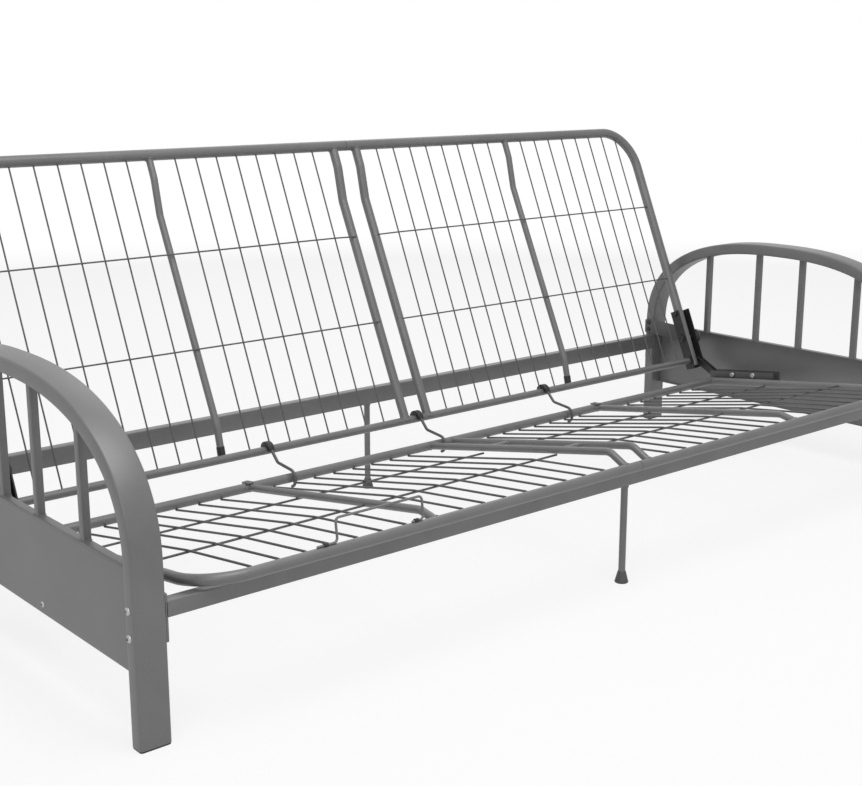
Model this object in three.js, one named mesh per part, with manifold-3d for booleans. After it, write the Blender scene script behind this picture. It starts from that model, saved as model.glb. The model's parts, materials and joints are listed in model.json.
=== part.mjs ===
// Metal-arm futon sofa bed frame, millimetres, +Z up, front facing -Y, seen without its mattress.
// Two bent-tube arms carry a front and a rear rail. The back turns on a bolt at each hinge plate,
// and its lower tube draws the seat forward through two side links and three S-hooks.
// "left" is -X and "right" is +X, as seen by someone standing in front of the frame.
import * as THREE from 'three';
import { mergeVertices } from 'three/addons/utils/BufferGeometryUtils.js';
import Module from 'manifold-3d';

const wasm = await Module();
wasm.setup();

const DEGREE = Math.PI / 180;
const WELD_GAP = 0.3;
const TUBE_WALL = 1.2;
const BEND_STEP = 15 * DEGREE;

// Arms: one flat-oval arch of rectangular tube each, with a sheet panel and four square spindles.
const ARM_FACE_TO_FACE = 1981;
const ARM_DEPTH = 787;
const ARM_HEIGHT = 498;
const ARM_SPRING_HEIGHT = 256;
const ARM_CURVE_POWER = 2.47;
const ARM_CURVE_STEPS = 26;
const ARM_TUBE_WIDTH = 50;
const ARM_TUBE_THICKNESS = 26;
const ARM_TUBE_WALL = 1.5;
const GLIDE_HEIGHT = 3;
const GLIDE_INSET = 0.5;
const GLIDE_PLUG_HEIGHT = 20;
const PANEL_BOTTOM = 112;
const PANEL_TOP = 265;
const PANEL_SHEET = 2;
const PANEL_RECESS = 2;
const PANEL_FLANGE = 38;
const PANEL_HEM = 10;
const PANEL_BOLT = { depth: 291, height: 129, radius: 5, proud: 2 };
const SPINDLE_SIZE = 13;
const SPINDLE_INSET = 25;
const SPINDLE_DEPTHS = [181, 331, 455, 605];
const LEG_BOLT = { depth: 16, fromPlateEnd: 16, radius: 6, proud: 3 };

// Rails between the arms, each with a welded end plate, and the two screw-in centre legs.
const RAIL_DEPTH = 20;
const RAIL_WALL = 1.5;
const RAIL_END_PLATE = 4;
const FRONT_RAIL = { front: 3, bottom: 186, top: 211, plateBottom: 150, plateTop: 222 };
const REAR_RAIL_INSET = 7;
const REAR_RAIL_HEIGHTS = { bottom: 193, top: 229, plateBottom: 166, plateTop: 231 };
const CENTER_LEG_RADIUS = 6.4;
const CENTER_FOOT_RADIUS = 13;
const CENTER_FOOT_RIM = 6;
const CENTER_FOOT_HEIGHT = 14;
const CENTER_COLLAR_RADIUS = 10;
const CENTER_COLLAR_HEIGHT = 5;

// Back, in its own plane: "along" runs up from the lower tube, "out" is towards the sitter.
const BACK_ANGLE = 66.35 * DEGREE;
const BACK_LENGTH = 608;
const BACK_TUBE_RADIUS = 11;
const BACK_LOWER_RADIUS = 8;
const BACK_SIDE_INSET = 26;
const BACK_CORNER_RADIUS = 95;
const BACK_SIDE_TAIL = 14;
const BACK_INNER_RADIUS = 9.5;
const BACK_MID_RADIUS = 7;
const BACK_MID_SET_BACK = 13;
const BACK_JOG_START = 490;
const BACK_JOG_END = 560;
const BACK_CROSS_WIRES = [216, 406];

// Seat, in its own plane: "along" runs forward from the rear tube, "out" is up. Its side tubes rest on
// the front rail and its front tube overhangs the rail.
const SEAT_REST_GAP = 2.45;
const SEAT_OVERHANG = 43;
const SEAT_ANGLE = 7.79 * DEGREE;
const SEAT_LENGTH = 547.6;
const SEAT_TUBE_RADIUS = 9;
const SEAT_SIDE_INSET = 38;
const SEAT_CORNER_RADIUS = 77;
const SEAT_SUPPORT_RADIUS = 7;
const SEAT_BEND_AT = 507;
const SEAT_MID_RISE = 14;
const SEAT_INNER_RISE = 28;
const SEAT_CROSS_WIRES = [160, 365];
const SEAT_WIRE_CROWN = { inner: 13, outer: 7 };
const SEAT_SPACERS = [180, 380];

// Layout shared by both decks.
const HALF_JOINT_GAP = 0.5;
const INNER_TUBE_X = 30;
const MID_TUBE_X = 471;
const SMALL_BEND_RADIUS = 28;
const SPACER_RADIUS = 5;
const SUPPORT_SIDES = 10;
const WIRE_RADIUS = 2;
const WIRE_BITE = 0.3;
const WIRE_PITCH = 47;
const INNER_BAY_FIRST_X = 86;
const INNER_BAY_WIRES = 8;
const BACK_OUTER_BAY_X = 521;
const SEAT_OUTER_BAY_X = 531;

// Fold mechanism: hinge plate on the rear leg, channel on the back, channel on the seat, links.
const CHANNEL_SHEET = 3;
const BACK_CHANNEL = { tubeGap: 2, from: -20, to: 128, behind: 15, ahead: 13 };
const BACK_CHANNEL_BOLT = 123;
const PIVOT_ALONG = 59;
const PIVOT_RADIUS = 5;
const BOLT_HEAD_RADIUS = 9;
const SMALL_HEAD_RADIUS = 7;
const BOLT_HEAD_HEIGHT = 4;
const BOLT_RADIUS = 4;
const HINGE_PLATE = { sheet: 4, bossRadius: 18, aboveRailPlate: 2, legBolts: [10, 28] };
const SEAT_CHANNEL = { from: -14, to: 174, below: 12, above: 24 };
const SEAT_CHANNEL_BOLTS = { alongs: [55, 116], out: 16 };
const LINK_LENGTH = 85.3;
const LINK_ANGLE = 27 * DEGREE;
const LINK_BAR = 4;
const LINK_HALF_WIDTH = 8;
const LINK_PIN_RADIUS = 4;
const LINK_GAPS = { hingePlate: 0.5, outsideChannel: 1, insideChannel: 3 };
const HOOK_BESIDE_WIRE = { index: 6, offset: 8 };
const HOOK_WIRE_RADIUS = 3;
const HOOK_BACK_CLEARANCE = 0.6;
const HOOK_SEAT_CLEARANCE = 4.6;
const HOOK_TURNS = {
  backFrom: -67 * DEGREE, backTo: 108 * DEGREE, seatFrom: 69 * DEGREE, seatTo: 222 * DEGREE,
};
const HOOK_ELBOW_RADIUS = 12;
const HOOK_STEP = 21 * DEGREE;
const RETAINER = { fromX: -663, toX: -500, height: 46, wireRadius: 3, bend: 14 };

// Across the width, the hinge plate lies against the arm, then come the outer link bar, the channels'
// common outer face with the inner link bar behind it, and the side tubes of the back and the seat.
const armInnerX = ARM_FACE_TO_FACE / 2 - ARM_TUBE_WIDTH;
const linkOuterX = armInnerX - HINGE_PLATE.sheet - LINK_GAPS.hingePlate - LINK_BAR;
const channelOuterX = linkOuterX - LINK_GAPS.outsideChannel;
const linkInnerX = channelOuterX - CHANNEL_SHEET - LINK_GAPS.insideChannel - LINK_BAR;
const backSideX = channelOuterX - BACK_SIDE_INSET;
const seatSideX = channelOuterX - SEAT_SIDE_INSET;
const backChannelInnerX = backSideX - BACK_TUBE_RADIUS - BACK_CHANNEL.tubeGap - CHANNEL_SHEET;
const seatChannelInnerX = seatSideX + SEAT_TUBE_RADIUS + WELD_GAP;
const rearRail = { front: ARM_DEPTH - REAR_RAIL_INSET - RAIL_DEPTH, ...REAR_RAIL_HEIGHTS };

// The seat's side tubes lie over the front rail; its rear tube hangs from the back's lower tube by the
// links, and the back turns about a bolt a little way up its own side tube.
const seatFrontDepth = FRONT_RAIL.front + RAIL_DEPTH - SEAT_OVERHANG;
const seatRest = FRONT_RAIL.top + SEAT_REST_GAP + SEAT_TUBE_RADIUS / Math.cos(SEAT_ANGLE);
const seatRun = SEAT_LENGTH * Math.cos(SEAT_ANGLE);
const seatRear = {
  depth: seatFrontDepth + seatRun,
  height: seatRest - (seatRun - SEAT_OVERHANG) * Math.tan(SEAT_ANGLE),
};
const backLower = {
  depth: seatRear.depth + LINK_LENGTH * Math.cos(LINK_ANGLE),
  height: seatRear.height + LINK_LENGTH * Math.sin(LINK_ANGLE),
};
const pivotY = backLower.depth + PIVOT_ALONG * Math.cos(BACK_ANGLE);
const pivotZ = backLower.height + PIVOT_ALONG * Math.sin(BACK_ANGLE);
const frontmost = seatFrontDepth - SEAT_TUBE_RADIUS;
const rearmost = backLower.depth + BACK_LENGTH * Math.cos(BACK_ANGLE) + BACK_TUBE_RADIUS;

const powderCoat = { color: 0x696b6d, roughness: 0.42, metalness: 0.55 };
const looks = {
  tube: new THREE.MeshStandardMaterial(powderCoat),
  sheet: new THREE.MeshStandardMaterial({ color: 0x7b7d7f, roughness: 0.45, metalness: 0.5 }),
  wire: new THREE.MeshStandardMaterial({ color: 0x5f6163, roughness: 0.48, metalness: 0.5 }),
  channel: new THREE.MeshStandardMaterial({ color: 0x2b2c2e, roughness: 0.5, metalness: 0.6 }),
  zinc: new THREE.MeshStandardMaterial({ color: 0xa9abad, roughness: 0.32, metalness: 0.9 }),
  plastic: new THREE.MeshStandardMaterial({ color: 0x1d1d1e, roughness: 0.6, metalness: 0 }),
};

// A swept run whose cross-sections stand exactly at the given stations.
class Run extends THREE.Curve {
  constructor(stations) {
    super();
    this.stations = stations;
  }

  getSpacedPoints() {
    return this.stations;
  }

  getTangentAt(share, target = new THREE.Vector3()) {
    const last = this.stations.length - 1;
    const at = Math.round(share * last);
    const here = this.stations[at];
    target.set(0, 0, 0);
    if (at > 0) target.add(here.clone().sub(this.stations[at - 1]).normalize());
    if (at < last) target.add(this.stations[at + 1].clone().sub(here).normalize());
    return target.normalize();
  }
}

// Straight lines between corners, with each corner rounded to the bend radius.
function bentRun(corners, radius) {
  const stations = [corners[0]];
  for (let i = 1; i < corners.length - 1; i += 1) {
    const into = corners[i].clone().sub(corners[i - 1]).normalize();
    const away = corners[i + 1].clone().sub(corners[i]).normalize();
    const turn = into.angleTo(away);
    const start = corners[i].clone().addScaledVector(into, -radius * Math.tan(turn / 2));
    const inward = away.clone().addScaledVector(into, -into.dot(away)).normalize();
    const steps = Math.ceil(turn / BEND_STEP);
    for (let j = 0; j <= steps; j += 1) {
      const angle = (turn * j) / steps;
      const station = start.clone().addScaledVector(into, radius * Math.sin(angle));
      stations.push(station.addScaledVector(inward, radius * (1 - Math.cos(angle))));
    }
  }
  stations.push(corners[corners.length - 1]);
  return stations;
}

function circle(radius, sides, x = 0, y = 0, start = 0) {
  const points = [];
  for (let i = 0; i < sides; i += 1) {
    const angle = start + (2 * Math.PI * i) / sides;
    points.push(new THREE.Vector2(x + radius * Math.cos(angle), y + radius * Math.sin(angle)));
  }
  return points;
}

function rectangle(x0, x1, y0, y1) {
  return [[x0, y0], [x1, y0], [x1, y1], [x0, y1]].map(([x, y]) => new THREE.Vector2(x, y));
}

function section(outline, hole) {
  const shape = new THREE.Shape(outline);
  if (hole) shape.holes.push(new THREE.Path(hole));
  return shape;
}

function sweep(shape, stations) {
  const steps = stations.length - 1;
  return new THREE.ExtrudeGeometry(shape, { steps, extrudePath: new Run(stations) });
}

function roundTube(radius, stations, sides = 12) {
  return sweep(section(circle(radius, sides), circle(radius - TUBE_WALL, sides)), stations);
}

function roundRod(radius, stations, sides = 8) {
  return sweep(section(circle(radius, sides)), stations);
}

// A prism along an axis; its outline is given in the two axes that follow it (X: y,z; Y: z,x; Z: x,y).
function prism(axis, outline, from, to, hole) {
  const options = { depth: Math.abs(to - from), bevelEnabled: false };
  const geometry = new THREE.ExtrudeGeometry(section(outline, hole), options);
  const axes = [new THREE.Vector3(1, 0, 0), new THREE.Vector3(0, 1, 0), new THREE.Vector3(0, 0, 1)];
  const first = { X: 0, Y: 1, Z: 2 }[axis];
  geometry.translate(0, 0, Math.min(from, to));
  const basis = [axes[(first + 1) % 3], axes[(first + 2) % 3], axes[first]];
  return geometry.applyMatrix4(new THREE.Matrix4().makeBasis(...basis));
}

function pin(radius, fromX, toX, y, z, sides = 12) {
  return prism('X', circle(radius, sides, y, z), fromX, toX);
}

function solid(geometry) {
  const bare = geometry.clone();
  bare.deleteAttribute('normal');
  bare.deleteAttribute('uv');
  const merged = mergeVertices(bare, 1e-4);
  const vertProperties = new Float32Array(merged.attributes.position.array);
  const triVerts = new Uint32Array(merged.index.array);
  return new wasm.Manifold(new wasm.Mesh({ numProp: 3, vertProperties, triVerts }));
}

function surface(body) {
  const mesh = body.getMesh();
  const geometry = new THREE.BufferGeometry();
  geometry.setAttribute('position', new THREE.BufferAttribute(mesh.vertProperties, 3));
  geometry.setIndex(new THREE.BufferAttribute(mesh.triVerts, 1));
  geometry.computeVertexNormals();
  return geometry;
}

function join(...geometries) {
  return surface(geometries.map(solid).reduce((whole, piece) => whole.add(piece)));
}

function cut(geometry, ...tools) {
  return surface(tools.map(solid).reduce((whole, tool) => whole.subtract(tool), solid(geometry)));
}

function place(parent, name, geometry, look) {
  const mesh = new THREE.Mesh(geometry, look);
  mesh.name = name;
  parent.add(mesh);
  return mesh;
}

// A frame whose Y runs up the slope at the given angle and whose Z is the slope's outward normal.
function slopedGroup(parent, origin, turn) {
  const sloped = new THREE.Group();
  sloped.position.set(0, origin.depth, origin.height);
  sloped.rotation.x = turn;
  parent.add(sloped);
  return sloped;
}

const sides = [{ name: 'left', sign: -1 }, { name: 'right', sign: 1 }];
const futon = new THREE.Group();
futon.name = 'futon_sofa_bed';
const frame = new THREE.Group();
frame.position.y = -(frontmost + rearmost) / 2;
futon.add(frame);

// ---- Arms ----

const armMiddle = ARM_DEPTH / 2;
const armHalfDepth = (ARM_DEPTH - ARM_TUBE_THICKNESS) / 2;
const armRise = ARM_HEIGHT - ARM_SPRING_HEIGHT - ARM_TUBE_THICKNESS / 2;

// Height of the arch's centre line, a superellipse over the two legs.
function archHeight(y) {
  const share = Math.min(Math.abs(y - armMiddle) / armHalfDepth, 1);
  return ARM_SPRING_HEIGHT + armRise * (1 - share ** ARM_CURVE_POWER) ** (1 / ARM_CURVE_POWER);
}

function armStations(sign) {
  const x = sign * (ARM_FACE_TO_FACE / 2 - ARM_TUBE_WIDTH / 2);
  const stations = [new THREE.Vector3(x, armMiddle - armHalfDepth, GLIDE_HEIGHT)];
  for (let i = 0; i <= ARM_CURVE_STEPS; i += 1) {
    const across = Math.cos((Math.PI * i) / ARM_CURVE_STEPS);
    const share = Math.sign(across) * Math.abs(across) ** (2 / ARM_CURVE_POWER);
    const y = armMiddle - armHalfDepth * share;
    stations.push(new THREE.Vector3(x, y, archHeight(y)));
  }
  stations.push(new THREE.Vector3(x, armMiddle + armHalfDepth, GLIDE_HEIGHT));
  return stations;
}

function armSection(grow, wall) {
  const across = ARM_TUBE_WIDTH / 2 + grow;
  const through = ARM_TUBE_THICKNESS / 2 + grow;
  const outline = rectangle(-through, through, -across, across);
  if (!wall) return section(outline);
  return section(outline, rectangle(wall - through, through - wall, wall - across, across - wall));
}

function boltHead(sign, radius, proud, faceX, y, z) {
  const sunk = 0.5;
  return pin(radius, sign * (faceX - sunk), sign * (faceX + proud), y, z);
}

function panelOutline(sign) {
  const outer = ARM_FACE_TO_FACE / 2 - PANEL_RECESS;
  const inner = outer - PANEL_FLANGE;
  const corners = [
    [PANEL_BOTTOM, outer], [PANEL_TOP, outer], [PANEL_TOP, inner], [PANEL_TOP - PANEL_SHEET, inner],
    [PANEL_TOP - PANEL_SHEET, outer - PANEL_SHEET], [PANEL_BOTTOM + PANEL_SHEET, outer - PANEL_SHEET],
    [PANEL_BOTTOM + PANEL_SHEET, outer - PANEL_HEM], [PANEL_BOTTOM, outer - PANEL_HEM],
  ];
  return corners.map(([z, x]) => new THREE.Vector2(z, sign * x));
}

function glide(sign, y) {
  const x = sign * (ARM_FACE_TO_FACE / 2 - ARM_TUBE_WIDTH / 2);
  const plug = ARM_TUBE_WALL + WELD_GAP;
  const slab = (inset, from, to) => {
    const across = ARM_TUBE_WIDTH / 2 - inset;
    const through = ARM_TUBE_THICKNESS / 2 - inset;
    return prism('Z', rectangle(x - across, x + across, y - through, y + through), from, to);
  };
  return join(slab(GLIDE_INSET, 0, GLIDE_HEIGHT), slab(plug, GLIDE_HEIGHT / 2, GLIDE_PLUG_HEIGHT));
}

for (const { name, sign } of sides) {
  const stations = armStations(sign);
  const boltHeights = [
    FRONT_RAIL.plateBottom + LEG_BOLT.fromPlateEnd, FRONT_RAIL.plateTop - LEG_BOLT.fromPlateEnd,
  ];
  const heads = boltHeights.map((height) => boltHead(
    sign, LEG_BOLT.radius, LEG_BOLT.proud, ARM_FACE_TO_FACE / 2, LEG_BOLT.depth, height,
  ));
  const tube = sweep(armSection(0, ARM_TUBE_WALL), stations);
  place(frame, `arm_tube_${name}`, join(tube, ...heads), looks.tube);

  const archClearance = sweep(armSection(WELD_GAP), stations);
  const from = ARM_TUBE_THICKNESS / 2;
  const sheet = cut(prism('Y', panelOutline(sign), from, ARM_DEPTH - from), archClearance);
  const panelFace = ARM_FACE_TO_FACE / 2 - PANEL_RECESS;
  const { radius, proud, depth, height } = PANEL_BOLT;
  const panelBolt = boltHead(sign, radius, proud, panelFace, depth, height);
  place(frame, `arm_panel_${name}`, join(sheet, panelBolt), looks.sheet);

  const spindleX = sign * (ARM_FACE_TO_FACE / 2 - SPINDLE_INSET);
  const half = SPINDLE_SIZE / 2;
  SPINDLE_DEPTHS.forEach((y, index) => {
    const outline = rectangle(spindleX - half, spindleX + half, y - half, y + half);
    const bar = prism('Z', outline, PANEL_TOP, archHeight(y));
    place(frame, `arm_spindle_${name}_${index + 1}`, cut(bar, archClearance), looks.tube);
  });

  const legInset = ARM_TUBE_THICKNESS / 2;
  place(frame, `leg_glide_${name}_front`, glide(sign, legInset), looks.plastic);
  place(frame, `leg_glide_${name}_rear`, glide(sign, ARM_DEPTH - legInset), looks.plastic);
}

// ---- Rails and centre legs ----

function rail({ front, bottom, top, plateBottom, plateTop }) {
  const back = front + RAIL_DEPTH;
  const beam = prism('X', rectangle(front, back, bottom, top), -armInnerX, armInnerX);
  const plateOverhang = 2;
  const plate = rectangle(front - plateOverhang, back + plateOverhang, plateBottom, plateTop);
  const plates = sides.map(({ sign }) => (
    prism('X', plate, sign * (armInnerX - RAIL_END_PLATE), sign * armInnerX)
  ));
  const bore = rectangle(front + RAIL_WALL, back - RAIL_WALL, bottom + RAIL_WALL, top - RAIL_WALL);
  const reach = armInnerX + RAIL_WALL;
  return cut(join(beam, ...plates), prism('X', bore, -reach, reach));
}

function centerLeg({ front, bottom }) {
  const profile = [
    [0, 0], [CENTER_FOOT_RADIUS, 0], [CENTER_FOOT_RADIUS, CENTER_FOOT_RIM],
    [CENTER_LEG_RADIUS, CENTER_FOOT_HEIGHT], [CENTER_LEG_RADIUS, bottom - CENTER_COLLAR_HEIGHT],
    [CENTER_COLLAR_RADIUS, bottom - CENTER_COLLAR_HEIGHT], [CENTER_COLLAR_RADIUS, bottom], [0, bottom],
  ];
  const geometry = new THREE.LatheGeometry(profile.map(([r, z]) => new THREE.Vector2(r, z)), 16);
  geometry.rotateX(Math.PI / 2);
  return geometry.translate(0, front + RAIL_DEPTH / 2, 0);
}

place(frame, 'front_rail', rail(FRONT_RAIL), looks.tube);
place(frame, 'rear_rail', rail(rearRail), looks.tube);
place(frame, 'front_center_leg', centerLeg(FRONT_RAIL), looks.tube);
place(frame, 'rear_center_leg', centerLeg(rearRail), looks.tube);

// ---- Fold mechanism on the arms: hinge plate and pivot bolt ----

function hingePlate(sign) {
  const { sheet, bossRadius, aboveRailPlate, legBolts } = HINGE_PLATE;
  const boss = circle(bossRadius, 24, pivotY, pivotZ);
  const legBottom = rearRail.plateTop + aboveRailPlate;
  const legTop = legBottom + 2 * bossRadius;
  const legRear = ARM_DEPTH - 1;
  const arm = [
    [pivotY, pivotZ - bossRadius], [legRear, legBottom], [legRear, legTop], [pivotY, pivotZ + bossRadius],
  ].map(([y, z]) => new THREE.Vector2(y, z));
  const from = sign * (armInnerX - sheet);
  const to = sign * armInnerX;
  const bolts = legBolts.map((above) => (
    pin(LEG_BOLT.radius, sign * (armInnerX - sheet - LEG_BOLT.proud), sign * (armInnerX - 1),
      ARM_DEPTH - ARM_TUBE_THICKNESS / 2, legBottom + above)
  ));
  const hole = pin(PIVOT_RADIUS + WELD_GAP, sign * (armInnerX - 2 * sheet), sign * (armInnerX + sheet),
    pivotY, pivotZ);
  return cut(join(prism('X', arm, from, to), prism('X', boss, from, to), ...bolts), hole);
}

function pivotBolt(sign) {
  const headFace = backChannelInnerX - WELD_GAP;
  const nutFace = armInnerX + WELD_GAP;
  return join(
    pin(PIVOT_RADIUS, sign * (headFace - 1), sign * (nutFace + 1), pivotY, pivotZ),
    pin(BOLT_HEAD_RADIUS, sign * (headFace - BOLT_HEAD_HEIGHT), sign * headFace, pivotY, pivotZ, 6),
    pin(BOLT_HEAD_RADIUS, sign * nutFace, sign * (nutFace + BOLT_HEAD_HEIGHT), pivotY, pivotZ, 6),
  );
}

for (const { name, sign } of sides) {
  place(frame, `hinge_plate_${name}`, hingePlate(sign), looks.channel);
  place(frame, `pivot_bolt_${name}`, pivotBolt(sign), looks.zinc);
}

// ---- Decks: shared tubes and wires ----
// A deck's own Y runs along its slope and its own Z stands out of it. "heading" is +1 where the deck
// runs towards +Y from its hinge end, as the back does, and -1 where it runs towards -Y, as the seat.

// Side tube, rounded corner and end tube of one half.
function outerTube(sign, heading, { sideX, tail, length, corner, radius }) {
  const stations = bentRun([
    new THREE.Vector3(sign * sideX, -heading * tail, 0),
    new THREE.Vector3(sign * sideX, heading * length, 0),
    new THREE.Vector3(sign * HALF_JOINT_GAP, heading * length, 0),
  ], corner);
  return roundTube(radius, stations);
}

function crossTube(sign, radius, toX) {
  const ends = [HALF_JOINT_GAP, toX].map((x) => new THREE.Vector3(sign * x, 0, 0));
  return roundTube(radius, ends);
}

function coping(radius, y) {
  return pin(radius + WELD_GAP, -backSideX, backSideX, y, 0);
}

// Wires fill the inner bay, and then the outer bay as far as lastX.
function wireXs(outerX, lastX) {
  const bay = (first, count) => Array.from({ length: count }, (_, i) => first + WIRE_PITCH * i);
  const outerCount = Math.floor((lastX - outerX) / WIRE_PITCH) + 1;
  return [...bay(INNER_BAY_FIRST_X, INNER_BAY_WIRES), ...bay(outerX, outerCount)];
}

function wire(...stations) {
  return roundRod(WIRE_RADIUS, stations, 6);
}

// Cross wires are pressed into the long ones, as in a spot-welded mesh.
const wireStack = 2 * WIRE_RADIUS * Math.cos(Math.PI / 6) - WIRE_BITE;

// A pressed U of sheet, open towards "ahead", between two walls.
function channelOutline(sign, innerX, below, above) {
  const corners = [
    [-below, innerX], [above, innerX], [above, innerX + CHANNEL_SHEET],
    [CHANNEL_SHEET - below, innerX + CHANNEL_SHEET], [CHANNEL_SHEET - below, channelOuterX - CHANNEL_SHEET],
    [above, channelOuterX - CHANNEL_SHEET], [above, channelOuterX], [-below, channelOuterX],
  ];
  return corners.map(([z, x]) => new THREE.Vector2(z, sign * x));
}

// ---- Back ----

const back = slopedGroup(frame, backLower, BACK_ANGLE);
const backDeck = {
  sideX: backSideX,
  tail: BACK_SIDE_TAIL,
  length: BACK_LENGTH,
  corner: BACK_CORNER_RADIUS,
  radius: BACK_TUBE_RADIUS,
};

// A support tube leaves the plane of the mesh to lie behind it and jogs back to the top tube.
function backSupportRun(x) {
  return bentRun([
    new THREE.Vector3(x, 0, 0),
    new THREE.Vector3(x, BACK_JOG_START, -BACK_MID_SET_BACK),
    new THREE.Vector3(x, BACK_JOG_END, 0),
    new THREE.Vector3(x, BACK_LENGTH, 0),
  ], SMALL_BEND_RADIUS);
}

function backSupport(x, radius) {
  const tube = roundTube(radius, backSupportRun(x), SUPPORT_SIDES);
  return cut(tube, coping(BACK_LOWER_RADIUS, 0), coping(BACK_TUBE_RADIUS, BACK_LENGTH));
}

// How far up a wire at x runs before it meets the top tube, which curves down at its side.
function backWireTop(x) {
  const past = x + WIRE_RADIUS - (backSideX - BACK_CORNER_RADIUS);
  if (past <= 0) return BACK_LENGTH - BACK_TUBE_RADIUS - WELD_GAP;
  const inside = BACK_CORNER_RADIUS - BACK_TUBE_RADIUS - WELD_GAP;
  return BACK_LENGTH - BACK_CORNER_RADIUS + Math.sqrt(inside * inside - past * past);
}

// Long wires in the back's plane, as far out as the pivot bolts' heads, and cross wires before them.
function backWireMesh(sign) {
  const lastX = backChannelInnerX - BOLT_HEAD_HEIGHT - WIRE_RADIUS - 2 * WELD_GAP;
  const long = wireXs(BACK_OUTER_BAY_X, lastX).map((x) => wire(
    new THREE.Vector3(sign * x, BACK_LOWER_RADIUS + WELD_GAP, 0),
    new THREE.Vector3(sign * x, backWireTop(x), 0),
  ));
  const outerX = backSideX - BACK_TUBE_RADIUS - WELD_GAP;
  const across = BACK_CROSS_WIRES.map((along) => wire(
    new THREE.Vector3(sign * INNER_TUBE_X, along, wireStack),
    new THREE.Vector3(sign * outerX, along, wireStack),
  ));
  const innerTube = roundRod(
    BACK_INNER_RADIUS + WELD_GAP, backSupportRun(sign * INNER_TUBE_X), SUPPORT_SIDES,
  );
  return cut(join(...long, ...across), innerTube);
}

function backChannel(sign) {
  const { from, to, behind, ahead } = BACK_CHANNEL;
  const innerX = backChannelInnerX;
  const body = prism('Y', channelOutline(sign, innerX, behind, ahead), from, to);
  const bore = (radius, toX, y) => pin(radius + WELD_GAP, sign * (innerX - 1), sign * toX, y, 0);
  const linkBore = pin(LINK_PIN_RADIUS + WELD_GAP, sign * linkInnerX, sign * linkOuterX, 0, 0);
  const pivotBore = bore(PIVOT_RADIUS, channelOuterX + 1, PIVOT_ALONG);
  const tubeBore = bore(BACK_LOWER_RADIUS, innerX + 2 * CHANNEL_SHEET, 0);
  const open = cut(body, pivotBore, linkBore, tubeBore);
  const inside = innerX - BOLT_HEAD_HEIGHT;
  const outside = channelOuterX + BOLT_HEAD_HEIGHT;
  return join(
    open,
    pin(BOLT_RADIUS, sign * inside, sign * outside, BACK_CHANNEL_BOLT, 0),
    pin(SMALL_HEAD_RADIUS, sign * inside, sign * innerX, BACK_CHANNEL_BOLT, 0, 6),
    pin(SMALL_HEAD_RADIUS, sign * channelOuterX, sign * outside, BACK_CHANNEL_BOLT, 0, 6),
  );
}

for (const { name, sign } of sides) {
  const boltHole = (radius, y) => (
    pin(radius + WELD_GAP, sign * backChannelInnerX, sign * channelOuterX, y, 0)
  );
  const boltHoles = [boltHole(PIVOT_RADIUS, PIVOT_ALONG), boltHole(BOLT_RADIUS, BACK_CHANNEL_BOLT)];
  const outer = cut(outerTube(sign, 1, backDeck), ...boltHoles);
  place(back, `back_outer_tube_${name}`, outer, looks.tube);
  const lowerEnd = backSideX - BACK_TUBE_RADIUS - WELD_GAP;
  place(back, `back_lower_tube_${name}`, crossTube(sign, BACK_LOWER_RADIUS, lowerEnd), looks.tube);
  place(back, `back_mid_tube_${name}`, backSupport(sign * MID_TUBE_X, BACK_MID_RADIUS), looks.tube);
  place(back, `back_inner_tube_${name}`, backSupport(sign * INNER_TUBE_X, BACK_INNER_RADIUS), looks.tube);
  place(back, `back_wire_mesh_${name}`, backWireMesh(sign), looks.wire);
  place(back, `back_channel_${name}`, backChannel(sign), looks.channel);
}

// ---- Seat ----

const seat = slopedGroup(frame, seatRear, -SEAT_ANGLE);
const seatDeck = {
  sideX: seatSideX,
  tail: SEAT_TUBE_RADIUS,
  length: SEAT_LENGTH,
  corner: SEAT_CORNER_RADIUS,
  radius: SEAT_TUBE_RADIUS,
};

// A support tube climbs above the mesh towards the front and bends down to the front tube.
function seatSupportRun(x, rise) {
  return bentRun([
    new THREE.Vector3(x, 0, 0),
    new THREE.Vector3(x, -SEAT_BEND_AT, rise),
    new THREE.Vector3(x, -SEAT_LENGTH, 0),
  ], SMALL_BEND_RADIUS);
}

function seatSupport(x, rise) {
  const tube = roundTube(SEAT_SUPPORT_RADIUS, seatSupportRun(x, rise), SUPPORT_SIDES);
  return cut(tube, coping(SEAT_TUBE_RADIUS, 0), coping(SEAT_TUBE_RADIUS, -SEAT_LENGTH));
}

// A spacer that keeps the twin inner tubes of the two halves apart.
function spacer(along) {
  const face = INNER_TUBE_X - SEAT_SUPPORT_RADIUS;
  const out = (SEAT_INNER_RISE * along) / SEAT_BEND_AT;
  return pin(SPACER_RADIUS, -(face + 1), face - WELD_GAP, -along, out, SUPPORT_SIDES);
}

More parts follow.
